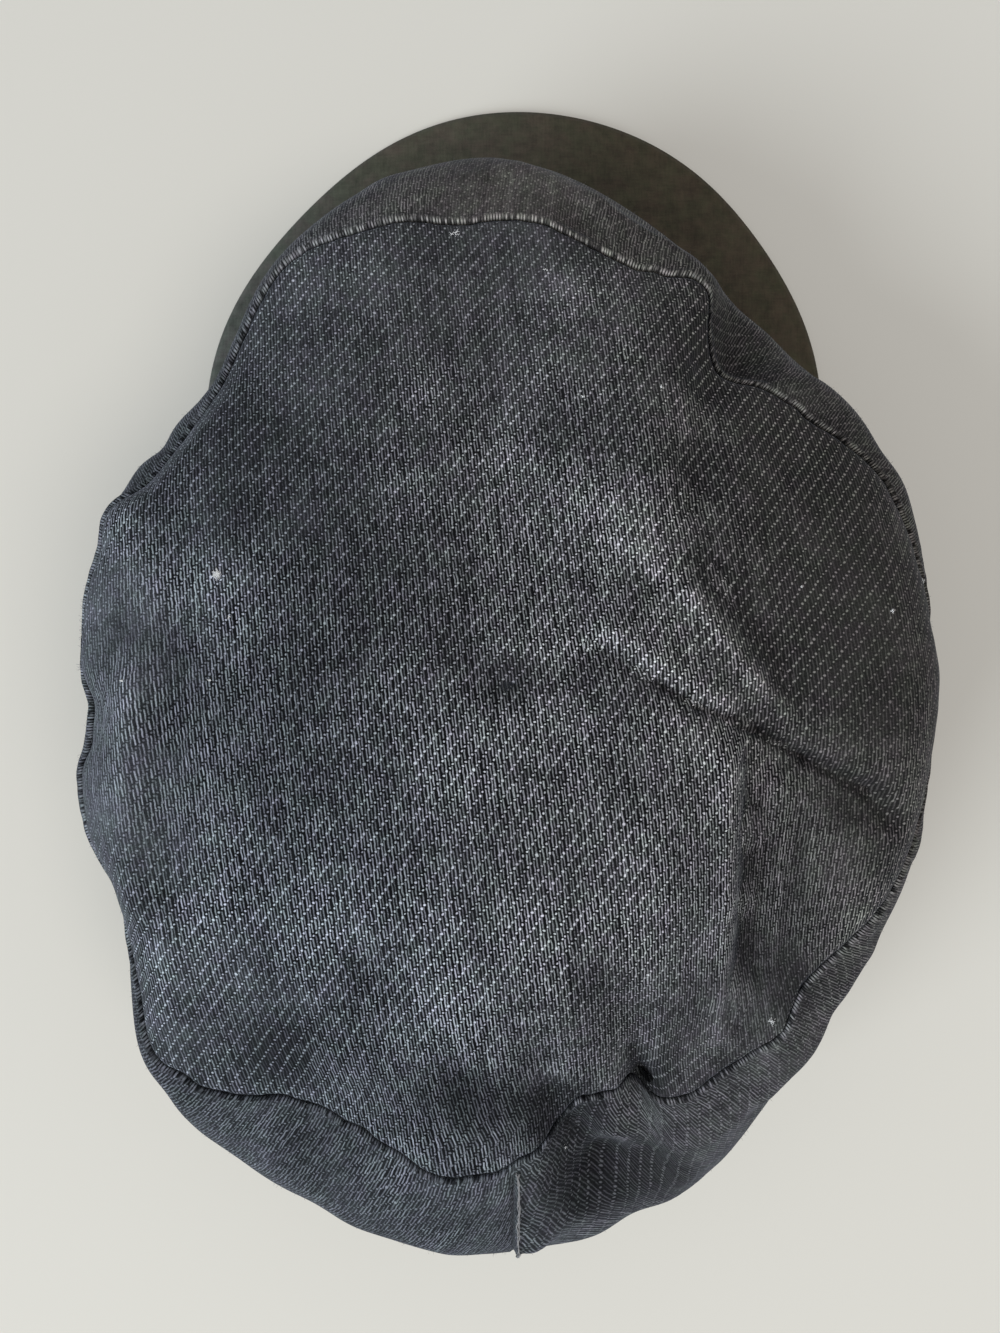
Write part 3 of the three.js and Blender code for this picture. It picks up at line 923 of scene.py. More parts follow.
def flat_turn(flat):
    """How far the flat cloth runs once round: nothing for a disc, the strip's length for a strip."""
    step = flat[-1, -1] - flat[0, -1]
    near = np.linalg.norm(flat[1, -1] - flat[0, -1])
    if np.linalg.norm(step) < 5 * near:
        return np.zeros(2)
    return step * len(flat) / (len(flat) - 1)


def inner_rows(grid, flat, rows):
    """The given rows of a grid, moved one thickness in, in turned order."""
    round_step = np.roll(grid, -1, 0) - np.roll(grid, 1, 0)
    out_step = np.gradient(grid, axis=1)
    normal = np.cross(out_step, round_step)
    normal /= np.maximum(np.linalg.norm(normal, axis=-1, keepdims=True), 1e-9)
    behind = grid - cloth_thickness * normal
    return behind[:, rows][:, ::-1], flat[:, rows][:, ::-1]


def cloth_mesh(name, grid, flat, round_first, close_second=False):
    """A mesh from a grid of points in millimetres; its first index may go right round."""
    across, along = grid.shape[:2]
    spans = across if round_first else across - 1
    steps = along if close_second else along - 1
    first, second = np.meshgrid(np.arange(spans), np.arange(steps), indexing="ij")
    next_first, next_second = (first + 1) % across, (second + 1) % along
    corners = [(first, second), (first, next_second), (next_first, next_second), (next_first, second)]
    faces = np.stack([(a * along + b).ravel() for a, b in corners], -1)
    mesh = bpy.data.meshes.new(name)
    mesh.from_pydata((grid.reshape(-1, 3) * metres).tolist(), [], faces.tolist())
    places = []
    for a, b in corners:
        place = flat[a, b].copy()
        if round_first:
            place[(a == 0) & (first == across - 1)] += flat_turn(flat)
        places.append(place.reshape(-1, 2))
    uv = mesh.uv_layers.new(name="flat_cloth")
    uv.data.foreach_set("uv", (np.stack(places, 1).reshape(-1) * metres).astype(np.float32))
    return new_piece(name, mesh)


def weld(piece):
    """Joins points that lie at one place, as the first ring of the top panel does, and shades it smooth."""
    work = bmesh.new()
    work.from_mesh(piece.data)
    bmesh.ops.remove_doubles(work, verts=work.verts, dist=1e-6)
    work.to_mesh(piece.data)
    work.free()
    piece.data.polygons.foreach_set("use_smooth", np.ones(len(piece.data.polygons), bool))
    print(piece.name, len(piece.data.polygons), "faces")


# %% [markdown]
# Inside the crown the strip's edge is turned in under the top panel, a few millimetres of cloth all along
# the seam. It closes the seam, so that no light comes through it, and it is one more step of the strip's
# section.

# %% The crown's meshes
turned_edge_steps = [
    # millimetres in from the seam, and down
    (4.0, 3.0),
    (4.0, 1.9),
    (0.0, 1.3),
]
top_row_step, side_row_step, first_side_row = 13, 6, 10
last_ring, last_step = len(top_shares) - 1, side_grid.shape[1] - 1
top_rows = [*range(0, len(inner_rings), top_row_step), len(inner_rings) + 6, last_ring]
side_rows = [0, *range(first_side_row, last_step, side_row_step), last_step]
inner_top, inner_top_flat = inner_rows(top_grid, top_flat, top_rows)
inner_top[:, -1] = inner_top[:, -1].mean(0)
crown_top = cloth_mesh(
    "crown_top_cloth",
    np.concatenate([top_grid, inner_top], 1),
    np.concatenate([top_flat, inner_top_flat], 1),
    round_first=True,
)
inner_side, inner_side_flat = inner_rows(side_grid, side_flat, side_rows)
inwards = -around(side_angles, np.ones(len(side_angles)), 0 * side_angles) + [*crown_middle, 0]
for step_in, step_down in turned_edge_steps:
    turned_edge = side_grid[:, 0] + step_in * inwards - [0, 0, step_down]
    inner_side = np.concatenate([inner_side, turned_edge[:, None]], 1)
    inner_side_flat = np.concatenate([inner_side_flat, inner_side_flat[:, -1:] + 1.0], 1)
crown_side = cloth_mesh(
    "crown_side_cloth",
    np.concatenate([side_grid, inner_side], 1),
    np.concatenate([side_flat, inner_side_flat], 1),
    round_first=True,
    close_second=True,
)
weld(crown_top)
weld(crown_side)

# %% [markdown]
# The headband and the peak are closed sections already, so their grids become closed meshes as they are.
# The peak's cloth lies flat as it is seen from above, near enough for so low a curve.

# %% The headband's and the peak's meshes
headband = cloth_mesh("headband_cloth", band_grid, band_flat, round_first=True, close_second=True)
peak_flat = peak_grid[..., :2].copy()
peak = cloth_mesh("peak_cloth_piece", peak_grid, peak_flat, round_first=False, close_second=True)
weld(headband)
weld(peak)

# %% [markdown]
# How a thread shows depends on where it was rubbed and where it lies in shade, so each point carries a few
# numbers. Wear is above 0 where hands and hooks rubbed the cloth pale, and below 0 where it stayed dark and
# where shade is painted in the pits and dents.
# Nap says how far the short fibres stand up and veil the weave, and flat how far the pale knuckles are
# pressed flat or dyed over. Edge is 1 along the roll beside the seam, where the weave's ends fray and a
# highlight is painted on the roll, and deep is 1 in the seam's ditch, where shade is painted. Warmth is
# painted light: a cool tint on the wearer's left and at the back, where the cool window's light falls, and
# a warm one on the right. Weight paint would do for one cap, but here a worn place is one row, in
# millimetres from the crown's middle, and stays right if the mesh gets finer.

# %% Worn places and painted shade
worn_and_shaded_places = [
    # x, y, half width, amount: the front
    (-9, -38, 17, 0.42),
    (18, -65, 9, 0.50),
    (4, -49, 8, 0.62),
    (-32, -34, 8, 0.50),
    (45, -80, 12, -0.08),
    (20, -74, 16, -0.22),
    (60, -54, 13, -0.42),
    (57, -34, 8, -0.25),
    (-5, -78, 8, -0.25),
    (-22, -51, 8, -0.30),
    (-8, -56, 8, -0.38),
    # painted shade in the pinch at the front, where the seam swallows the cloth
    (-42, -72, 7, -0.80),
    (-50, -74, 9, -1.50),
    (-44, -74, 5, -0.40),
    (-24, -106, 9, -0.08),
    (4, -98, 10, -0.40),
    (-13, -91, 6, 0.36),
    (16, -90, 7, 0.12),
    (-74, -44, 8, -0.50),
    (-40, -50, 5, -0.40),
    (-62, -44, 18, -0.70),
    (-68, -54, 8, -0.65),
    (-14, -97, 7, -0.60),
    (20, -101, 8, -0.40),
    # the middle and the long crease
    (-29, -8, 8, 0.52),
    (-7, -9, 8, 0.40),
    (-7, 4, 8, 0.40),
    (7, 8, 15, 0.35),
    (-18, 24, 17, 0.24),
    (20, 16, 13, 0.20),
    (-28, 37, 12, 0.30),
    (-41, 12, 8, 0.70),
    (-50, 18, 5, 0.70),
    (0, -2, 7, -0.60),
    (-37, -35, 6, 0.35),
    (-42, -47, 5, -0.60),
    (14, 24, 7, 0.35),
    (1, 4, 6, 0.30),
    (-78, 38, 7, -0.50),
    (-76, -4, 26, -0.28),
    (-70, -17, 16, -0.50),
    (-62, -2, 9, -0.70),
    (-76, 4, 8, -0.60),
    (-72, 29, 6, -0.70),
    (-80, -26, 8, -0.40),
    (40, -46, 11, -0.22),
    (33, -23, 14, -0.24),
    (45, 4, 12, -0.15),
    # the wearer's left
    (66, -17, 12, 0.85),
    (84, -2, 14, 0.42),
    (74, 14, 12, 0.30),
    (77, -26, 10, 0.30),
    (79, -9, 6, -0.70),
    (86, -31, 7, 0.68),
    (90, -14, 7, 0.35),
    (81, 4, 10, 0.50),
    (79, 25, 11, 0.80),
    (62, 29, 9, 0.45),
    (47, 39, 8, 0.30),
    (36, 50, 10, 0.60),
    (64, 48, 11, 0.45),
    (70, 56, 10, 0.30),
    (60, 62, 7, -0.12),
    (53, 79, 7, -0.50),
    # the back
    (17, 48, 12, 0.22),
    (-1, 46, 10, 0.35),
    (-7, 54, 8, 0.45),
    (-24, 56, 10, 0.40),
    (9, 64, 10, 0.58),
    (18, 74, 9, 0.45),
    (8, 82, 13, 0.34),
    (-16, 61, 7, -0.50),
    (-23, 78, 6, 0.35),
    (50, 81, 8, -0.60),
    (-62, 69, 5, -0.60),
    (-40, 80, 5, 0.35),
    (-22, 90, 4, 0.60),
    (24, 104, 9, 0.40),
    (28, 68, 8, 0.25),
    (-43, 54, 6, 0.40),
    (-41, 73, 5, 0.40),
    (-36, 70, 8, -0.58),
    (-68, 34, 11, 0.42),
    (-56, 35, 9, -0.22),
    (-49, 56, 6, -0.25),
    (-55, 62, 8, -0.30),
    (-62, 66, 5, -0.50),
    (6, 94, 6, -0.30),
    # painted shadow in the seam's pits and in the strip's dent at the back
    (-13, 94, 7, -1.40),
    (-19, 113, 8, -1.80),
    (-31, 112, 8, -1.60),
    (-31, 84, 5, -0.60),
    (-47, 83, 5, -0.40),
    (9, -103, 5, 0.12),
    (-38, -83, 12, -0.32),
    (-2, -22, 6, 0.20),
    (-45, -44, 7, -0.25),
    (-75, -22, 6, 0.22),
    (-54, -12, 5, 0.25),
    (8, -118, 8, -0.20),
    (-44, -1, 6, -0.25),
    (58, 10, 9, 0.30),
    (39, 9, 6, 0.25),
    (-33, 9, 6, 0.25),
    (-54, 68, 8, 0.08),
    (-54, 82, 6, 0.20),
    (51, 94, 7, 0.24),
    (3, 106, 9, 0.35),
]
print(len(worn_and_shaded_places), "worn places")

# %% [markdown]
# Where the cloth was handled least, its nap stands. Where it was pressed or dyed over, the knuckles are
# flat. The long creases wear along their own lines, paler on the ridges and darker in the valleys, which is
# also painted light on the ridges and painted shade in the creases, so the folds' table is read once more for
# them.

# %% Nap and flat
napped_places = [
    # x, y, half width, amount
    (0, -106, 42, 0.50),
    (0, -126, 22, 0.40),
    (52, -84, 26, 0.35),
    (52, -45, 22, 0.30),
    (-62, -66, 24, 0.35),
    (-74, -16, 28, 0.60),
    (-74, 28, 18, 0.35),
    (88, -12, 17, 0.60),
    (88, 28, 18, 0.60),
    (70, 76, 26, 0.35),
    (-58, 74, 20, 0.25),
    (-50, 104, 40, 0.50),
]
strip_nap = 0.30
flattened_places = [
    # x, y, half width, amount
    (73, 10, 26, 0.85),
    (92, 12, 22, 0.80),
    (80, -22, 16, 0.50),
    (6, 98, 28, 0.85),
    (0, -122, 24, 0.50),
    (-64, 34, 22, 0.75),
    (-82, 2, 20, 0.65),
    (-78, -34, 20, 0.40),
    (-55, 66, 20, 0.75),
    (-44, 108, 34, 0.35),
]
strip_flattened = 0.75
fold_wear_and_shade = 0.38


def add_wear(numbers, piece, x, y):
    """Wear with painted shade, nap and flat on the crown's two pieces."""
    numbers["wear_and_shade"] = spots(x, y, worn_and_shaded_places)
    numbers["nap"] = spots(x, y, napped_places)
    numbers["flat"] = spots(x, y, flattened_places)
    if piece == crown_top:
        # the fine folds' ridges paler and their creases darker: wear, and painted light and shade
        numbers["wear_and_shade"] += sum(fold_wear_and_shade * fold[4] * near_line(x, y, fold) for fold in fine_folds)
    else:
        numbers["nap"] = np.maximum(numbers["nap"], strip_nap)
        numbers["flat"] = np.maximum(numbers["flat"], strip_flattened)


print(len(napped_places), "napped and", len(flattened_places), "flattened places")

# %% [markdown]
# Beside the seam, the numbers come from how far a point is from the seam's line, out and down. Shade is
# painted into the seam's ditch and its deepest pits, and the strip's turned-in edge lies in the dark under
# the seam, so it gets the painted shade too.

# %% Edge and the ditch's painted shade
edge_from_seam, edge_half_width = 0.6, 0.5
less_fray_and_highlight_at, less_fray_and_highlight_spread, less_fray_and_highlight = 320, 25, 0.35
dark_half_width, dark_pit_share, deep_pit = 0.36, 0.45, 2
under_seam_out, under_seam_down = 0.6, 1.4


def add_seam(numbers, piece, x, y, up):
    """Edge and the ditch's painted shade on the crown's two pieces, and the way along the seam."""
    angle = np.degrees(np.arctan2(x, -y))
    seam_out, seam_up = seam_at(angle)
    beyond, below = np.hypot(x, y) - seam_out - seam_wobble(angle), seam_up - up
    from_seam = np.hypot(beyond, below)
    # the roll beside the seam: frayed ends and a painted highlight on it
    fray_and_highlight = 1 - less_fray_and_highlight * bell(degrees_apart(angle, less_fray_and_highlight_at), less_fray_and_highlight_spread)
    numbers["edge"] = bell(from_seam - edge_from_seam, edge_half_width) * (beyond > 0) * fray_and_highlight
    # painted shade in the seam's ditch, in its deepest pits and on the turned-in edge under the seam
    deep_pits = [pit for pit in seam_pits if pit[3] > deep_pit]
    dark_pits = [bell(np.hypot(x - px, y - py), dark_pit_share * width) for px, py, width, _ in deep_pits]
    under_seam = (beyond < under_seam_out) & (below > under_seam_down) & (piece == crown_side)
    numbers["painted_ditch_shade"] = np.max([bell(from_seam, dark_half_width), *dark_pits, under_seam], 0)
    numbers["seam_way"] = np.radians(angle) * seam_radius


print(f"the seam's dark line is {2 * dark_half_width:.2f} mm wide")

# %% [markdown]
# The painted light's tint runs slowly across the whole cap, cool where the cool window's light falls and warm
# on the right, and the strip is painted browner at its front. The peak is only rubbed along its edge. All the
# numbers go into the mesh as attributes, which the shader nodes read.

# %% The painted light's warmth, and the numbers of each piece
warm_at, cool_at = -115, 95
warmer_to_front, cooler_to_back = 0.0027, 0.0045
strip_warm_from, strip_warm_to, strip_painted_warmth = -80, -110, 0.8
rubbed_edge, rubbed_from_edge, rubbed_half_width = 0.30, 2, 10
number_names = ("wear_and_shade", "nap", "flat", "edge", "painted_ditch_shade", "painted_light_warmth", "seam_way")


# painted light: a cool tint (-1) on the wearer's left and at the back, a warm one (1) on the right
def painted_light_warmth_at(x, y):
    across = 1 - 2 * rise(warm_at, cool_at, x)
    return np.clip(across - warmer_to_front * np.minimum(y, 0) - cooler_to_back * np.maximum(y, 0), -1, 1)


def set_numbers(piece):
    points = np.zeros(len(piece.data.vertices) * 3)
    piece.data.vertices.foreach_get("co", points)
    points = points.reshape(-1, 3) * 1000
    x, y = points[:, 0] - crown_middle[0], points[:, 1] - crown_middle[1]
    numbers = {name: np.zeros(len(points)) for name in number_names}
    numbers["painted_light_warmth"] = painted_light_warmth_at(x, y)
    if piece in (crown_top, crown_side):
        add_wear(numbers, piece, x, y)
        add_seam(numbers, piece, x, y, points[:, 2])
    if piece == crown_side:
        # painted light: the strip's front is painted browner
        numbers["painted_light_warmth"] += strip_painted_warmth * rise(strip_warm_from, strip_warm_to, y)
        numbers["painted_light_warmth"] = np.minimum(numbers["painted_light_warmth"], 1)
    if piece == peak:
        out = np.hypot(points[:, 0] - peak_middle[0], points[:, 1] - peak_middle[1])
        numbers["wear_and_shade"] = rubbed_edge * bell(peak_radius - rubbed_from_edge - out, rubbed_half_width)
    for name, values in numbers.items():
        number = piece.data.attributes.new(name, "FLOAT", "POINT")
        number.data.foreach_set("value", np.asarray(values, np.float32))
    wear_and_shade = numbers["wear_and_shade"]
    print(f"{piece.name}: wear from {wear_and_shade.min():.2f} to {wear_and_shade.max():.2f}")


for piece in (crown_top, crown_side, headband, peak):
    set_numbers(piece)

# %% [markdown]
# A twill has a warp of dark threads that float over three picks and dive under the fourth. Each dive
# shows one pale knuckle of the cross thread, and the knuckles step up by one pick from thread to thread,
# which draws the slanted lines. The whole pattern is arithmetic on the place on the flat cloth: which
# thread, how far across it, and how far along its float. Shader nodes do that arithmetic, so the weave
# has no picture behind it and stays sharp at any distance. Nodes placed by hand would fill a screen, so
# a small helper makes them from lines that read like sums.

# %% Arithmetic with shader nodes


class NodeSums:
    """Adds nodes to one material's tree; each call returns the socket with its result."""

    def __init__(self, material):
        self.tree = material.node_tree

    def node(self, kind, **settings):
        made = self.tree.nodes.new(kind)
        for key, value in settings.items():
            setattr(made, key, value)
        return made

    def put(self, socket, value):
        if isinstance(value, bpy.types.NodeSocket):
            self.tree.links.new(value, socket)
        else:
            socket.default_value = value

    def sum(self, operation, *values, clamp=False):
        made = self.node("ShaderNodeMath", operation=operation, use_clamp=clamp)
        for socket, value in zip(made.inputs, values):
            self.put(socket, value)
        return made.outputs[0]

    def add(self, a, b):
        return self.sum("ADD", a, b)

    def take(self, a, b):
        return self.sum("SUBTRACT", a, b)

    def times(self, a, b, clamp=False):
        return self.sum("MULTIPLY", a, b, clamp=clamp)

    def plus_times(self, a, b, c, clamp=False):
        """a times b, plus c."""
        return self.sum("MULTIPLY_ADD", a, b, c, clamp=clamp)

    def rise(self, value, start, end):
        made = self.node("ShaderNodeMapRange", interpolation_type="SMOOTHSTEP")
        for socket, number in zip(made.inputs, (value, start, end, 0.0, 1.0)):
            self.put(socket, number)
        return made.outputs[0]

    def place(self, x, y, z=0.0):
        made = self.node("ShaderNodeCombineXYZ")
        for socket, value in zip(made.inputs, (x, y, z)):
            self.put(socket, value)
        return made.outputs[0]

    def noise(self, place, scale, detail=2.0, roughness=0.5):
        """An even unrest about 0, mostly from -0.5 to 0.5."""
        made = self.node("ShaderNodeTexNoise")
        self.put(made.inputs["Vector"], place)
        made.inputs["Scale"].default_value = scale
        made.inputs["Detail"].default_value = detail
        made.inputs["Roughness"].default_value = roughness
        return self.take(made.outputs["Fac"], 0.5)

    def streaks(self, u, v, across, along, detail=2.0, layer=0.0):
        """Unrest with its own number of waves a millimetre across the threads and along them."""
        return self.noise(self.place(self.times(u, across), self.times(v, along), layer), 1.0, detail)

    def dice(self, place):
        """A number from 0 to 1 that is the same all over one cell."""
        made = self.node("ShaderNodeTexWhiteNoise", noise_dimensions="2D")
        self.put(made.inputs["Vector"], place)
        return made.outputs["Value"]

    def number(self, name):
        return self.node("ShaderNodeAttribute", attribute_name=name).outputs["Fac"]

    def bump(self, shader, height, strength, depth):
        """Gives the shader a relief; the depth is in metres."""
        made = self.node("ShaderNodeBump")
        made.inputs["Strength"].default_value = strength
        made.inputs["Distance"].default_value = depth
        self.put(made.inputs["Height"], height)
        self.put(shader.inputs["Normal"], made.outputs[0])

    def scaled(self, colour, factor):
        made = self.node("ShaderNodeVectorMath", operation="SCALE")
        self.put(made.inputs[0], colour)
        self.put(made.inputs["Scale"], factor)
        return made.outputs[0]

    def tinted(self, colour, tint):
        made = self.node("ShaderNodeVectorMath", operation="MULTIPLY")
        self.put(made.inputs[0], colour)
        self.put(made.inputs[1], tint)
        return made.outputs[0]

    def blend(self, share, first, second):
        """A mix of two colours."""
        made = self.node("ShaderNodeMix", data_type="RGBA")
        self.put(made.inputs[0], share)
        self.put(made.inputs[6], first)
        self.put(made.inputs[7], second)
        return made.outputs[2]


sheen_roughness = 0.4


def set_sheen(shader, weight, tint):
    shader.inputs["Sheen Weight"].default_value = weight
    shader.inputs["Sheen Roughness"].default_value = sheen_roughness
    shader.inputs["Sheen Tint"].default_value = tint


print("ready to mix")

# %% [markdown]
# The crown's cloth is black twill, washed and rubbed to charcoal: warp threads 0.70 mm apart and picks
# 0.78 mm apart. The loom's reed drew the warp in pairs, so every other gap is wider. No two floats are
# alike: each thread wanders, each float has its own shade, side step and length, each knuckle its own
# size. The gaps are almost black, the knuckles bright.

# %% The twill's threads
warp_pitch, pick_pitch = 0.70, 0.78
picks_a_repeat = 4
pair_shift = 0.046
float_lean = -0.073
knuckle_radius, knuckle_off_middle = 0.335, 0.136
wander_size, quiver_size, drift_size = 0.60, 0.50, 0.80
wander_waves, quiver_waves, drift_waves = (0.9, 0.16), (0.8, 1.0), (0.10, 0.7)
thread_start_spread, float_side_spread, float_end_spread, knuckle_size_spread = 0.38, 0.16, 0.50, 0.30
float_ends, float_sides = (0.36, 0.76), (0.68, 0.04)


def cloth_place(sums):
    """The place on the flat cloth in millimetres, as two numbers."""
    uv = sums.node("ShaderNodeUVMap", uv_map="flat_cloth").outputs[0]
    apart = sums.node("ShaderNodeSeparateXYZ")
    sums.put(apart.inputs[0], uv)
    return sums.times(apart.outputs[0], 1000.0), sums.times(apart.outputs[1], 1000.0)


def twill_threads(sums, u, v):
    """How much of the float and of the knuckle shows, and three dice."""
    wander = sums.streaks(u, v, *wander_waves, detail=1.0)
    quiver = sums.streaks(u, v, *quiver_waves, layer=7.0)
    drift = sums.streaks(u, v, *drift_waves, detail=1.0)
    thread_place = sums.plus_times(wander, wander_size, sums.times(u, 1 / warp_pitch))
    thread_place = sums.plus_times(quiver, quiver_size, thread_place)
    thread = sums.sum("FLOOR", thread_place)
    odd = sums.sum("FRACT", sums.times(thread, 0.5))
    pair = sums.plus_times(odd, 4 * pair_shift, -0.5 - pair_shift)
    across = sums.add(sums.take(thread_place, thread), pair)
    thread_dice = sums.dice(sums.place(thread, 3.0))
    pick_place = sums.plus_times(drift, drift_size, sums.times(v, 1 / pick_pitch))
    pick_place = sums.plus_times(thread_dice, thread_start_spread, pick_place)
    repeats = sums.times(sums.take(pick_place, thread), 1 / picks_a_repeat)
    repeat = sums.sum("FLOOR", repeats)
    float_dice = sums.dice(sums.place(thread, repeat))
    nearest_repeat = sums.sum("FLOOR", sums.add(repeats, 0.5))
    knuckle_dice = sums.dice(sums.place(nearest_repeat, thread))
    half = picks_a_repeat / 2
    from_half = sums.plus_times(sums.take(repeats, repeat), float(picks_a_repeat), -half)
    from_knuckle = sums.take(half, sums.sum("ABSOLUTE", from_half))
    across = sums.plus_times(sums.take(float_dice, 0.5), float_side_spread, across)
    side = sums.times(sums.sum("ABSOLUTE", sums.plus_times(from_half, -float_lean, across)), 2.0)
    float_end = sums.plus_times(sums.take(knuckle_dice, 0.5), float_end_spread, from_knuckle)
    floats = sums.times(sums.rise(float_end, *float_ends), sums.rise(side, *float_sides))
    knuckle_across = sums.times(sums.add(across, knuckle_off_middle), warp_pitch)
    knuckle_along = sums.times(from_knuckle, pick_pitch)
    square = sums.plus_times(knuckle_across, knuckle_across, sums.times(knuckle_along, knuckle_along))
    uneven = sums.plus_times(knuckle_dice, -knuckle_size_spread, 1 + knuckle_size_spread / 2)
    reach = sums.times(sums.sum("SQRT", square), uneven)
    knuckles = sums.rise(reach, knuckle_radius, knuckle_radius / 3)
    return floats, knuckles, thread_dice, float_dice, knuckle_dice


print("a repeat of the twill is", picks_a_repeat * pick_pitch, "mm along the warp")

# %% [markdown]
# Wear makes the floats and knuckles paler and opens the black gaps between them, in clouds and in faint
# streaks along the threads. Where the wear number is below 0 it darkens them, and in the pits and dents that
# is painted shade. The dye has gone blotchy too, some places a little violet and others a little green. One
# flat grey would look like rubber: cloth gets its life from colours that differ thread by thread.

# %% The twill's colours
gap_dark, gap_worn_and_ditch_shade = (0.006, 0.006, 0.0065, 1), (0.0015, 0.0015, 0.0018, 1)
float_dark, float_worn = (0.112, 0.112, 0.114, 1), (0.95, 0.955, 0.96, 1)
knuckle_dark, knuckle_worn = (0.32, 0.32, 0.32, 1), (1.0, 1.0, 1.0, 1)
veil_dark, veil_worn = (0.036, 0.036, 0.036, 1), (0.19, 0.19, 0.192, 1)
# painted light: the tints that the window's cool light and the lamp's warm light would give
painted_cool_light, painted_middle_light, painted_warm_light = (0.77, 0.86, 1.0, 1), (0.90, 0.92, 0.99, 1), (1.0, 0.95, 0.89, 1)
violet_cast, green_cast = (1.04, 0.97, 1.05, 1), (0.96, 1.03, 0.95, 1)
frayed_and_highlight_pale = (0.62, 0.62, 0.62, 1)
dusty_blue = (0.72, 0.80, 1.0, 1)
blotch_waves, blotch_turns = (0.16, 4.0, 0.75), (-0.2, 0.2)

wear_cloud_waves = [
    # waves a millimetre, detail, roughness, strength
    (0.055, 3.0, 0.6, 0.9),
    (0.45, 2.0, 0.6, 1.0),
]
wear_streak_waves = [
    # waves a millimetre across the threads, and along them, strength
    (0.55, 0.03, 0.8),
    (0.03, 0.45, 0.5),
]


def wear_clouds(sums, u, v):
    """The wear and the painted shade, with clouds, specks and streaks, mostly from -0.5 to 1.2."""
    wear_and_shade = sums.number("wear_and_shade")
    for scale, detail, roughness, strength in wear_cloud_waves:
        wear_and_shade = sums.plus_times(sums.noise(sums.place(u, v), scale, detail, roughness), strength, wear_and_shade)
    for across, along, strength in wear_streak_waves:
        wear_and_shade = sums.plus_times(sums.streaks(u, v, across, along), strength, wear_and_shade)
    return wear_and_shade


def with_painted_light_and_blotches(sums, colour, place):
    """The colour, tinted cooler or warmer as painted light at the place, with the dye's blotches."""
    painted_light_warmth = sums.number("painted_light_warmth")
    cast = sums.blend(sums.rise(painted_light_warmth, -1.0, 0.0), painted_cool_light, painted_middle_light)
    cast = sums.blend(sums.rise(painted_light_warmth, 0.0, 1.0), cast, painted_warm_light)
    blotch = sums.rise(sums.noise(place, *blotch_waves), *blotch_turns)
    blotch = sums.blend(blotch, green_cast, violet_cast)
    return sums.tinted(sums.tinted(colour, cast), blotch)


print("the wear has", len(wear_cloud_waves + wear_streak_waves), "kinds of unrest")

# %% [markdown]
# The colour is laid on as the cloth is made: first the floats over the black gaps, then the nap, a veil of
# short fibres with the cloth's mean colour, and then the pale knuckles on top, except where they are
# pressed flat.

# %% Threads, veil and knuckles
lit_least, lit_by_thread, lit_by_float, lit_by_fuzz = 0.23, 0.14, 0.52, 1.5
veil_most, veil_fuzz, veil_grows = 0.85, 3.0, (-0.1, 1.0)
knuckle_least, knuckle_spread = 0.92, 0.16
standing_least, flat_hides, nap_hides = 0.75, 0.8, 0.15
standing_waves, standing_grows, nap_hides_from = (0.07, 3.0, 0.6), (-0.30, 0.05), (0.1, 1.1)


def threads_colour(sums, floats, wear_and_shade_mix, fuzz, thread_dice, float_dice):
    lit = sums.plus_times(float_dice, lit_by_float, sums.plus_times(thread_dice, lit_by_thread, lit_least))
    lit = sums.times(floats, sums.plus_times(fuzz, lit_by_fuzz, lit), clamp=True)
    return sums.blend(lit, sums.blend(wear_and_shade_mix, gap_dark, gap_worn_and_ditch_shade), sums.blend(wear_and_shade_mix, float_dark, float_worn))


def under_veil(sums, colour, nap, wear_and_shade_mix, fuzz):
    veil = sums.scaled(sums.blend(wear_and_shade_mix, veil_dark, veil_worn), sums.plus_times(fuzz, veil_fuzz, 1.0))
    return sums.blend(sums.times(sums.rise(nap, *veil_grows), veil_most), colour, veil)


def knuckles_shown(sums, knuckles, knuckle_dice, nap, place):
    stands = sums.rise(sums.noise(place, *standing_waves), *standing_grows)
    flat = sums.sum("MINIMUM", sums.number("flat"), 1.0)
    share = sums.times(knuckles, sums.plus_times(knuckle_dice, knuckle_spread, knuckle_least), clamp=True)
    share = sums.times(share, sums.plus_times(stands, 1 - standing_least, standing_least))
    share = sums.times(share, sums.plus_times(flat, -flat_hides, 1.0))
    return sums.times(share, sums.plus_times(sums.rise(nap, *nap_hides_from), -nap_hides, 1.0))


print(f"the knuckles show {100 * (1 - flat_hides):.0f} percent where they are pressed flat")

# %% [markdown]
# Along the seam's roll the cut weave shows as a row of pale ticks with dark notches between them, and the
# pale ticks are also a painted highlight on the roll. The seam itself is a thin line of painted shade, broken
# where the two pieces touch.

# %% The seam's edge
ticks_a_millimetre, tick_wander = 1.55, 1.2
tick_pale, notch_dark = 0.8, 0.8
tick_grows, ticks_shown = (0.42, 0.12), (0.15, 0.65)
notch_grows, notches_shown = (0.24, 0.44), (0.25, 0.65)
dark_line_least, dark_line_waves, dark_line_grows = 0.25, (1.1, 2.0), (-0.18, 0.12)


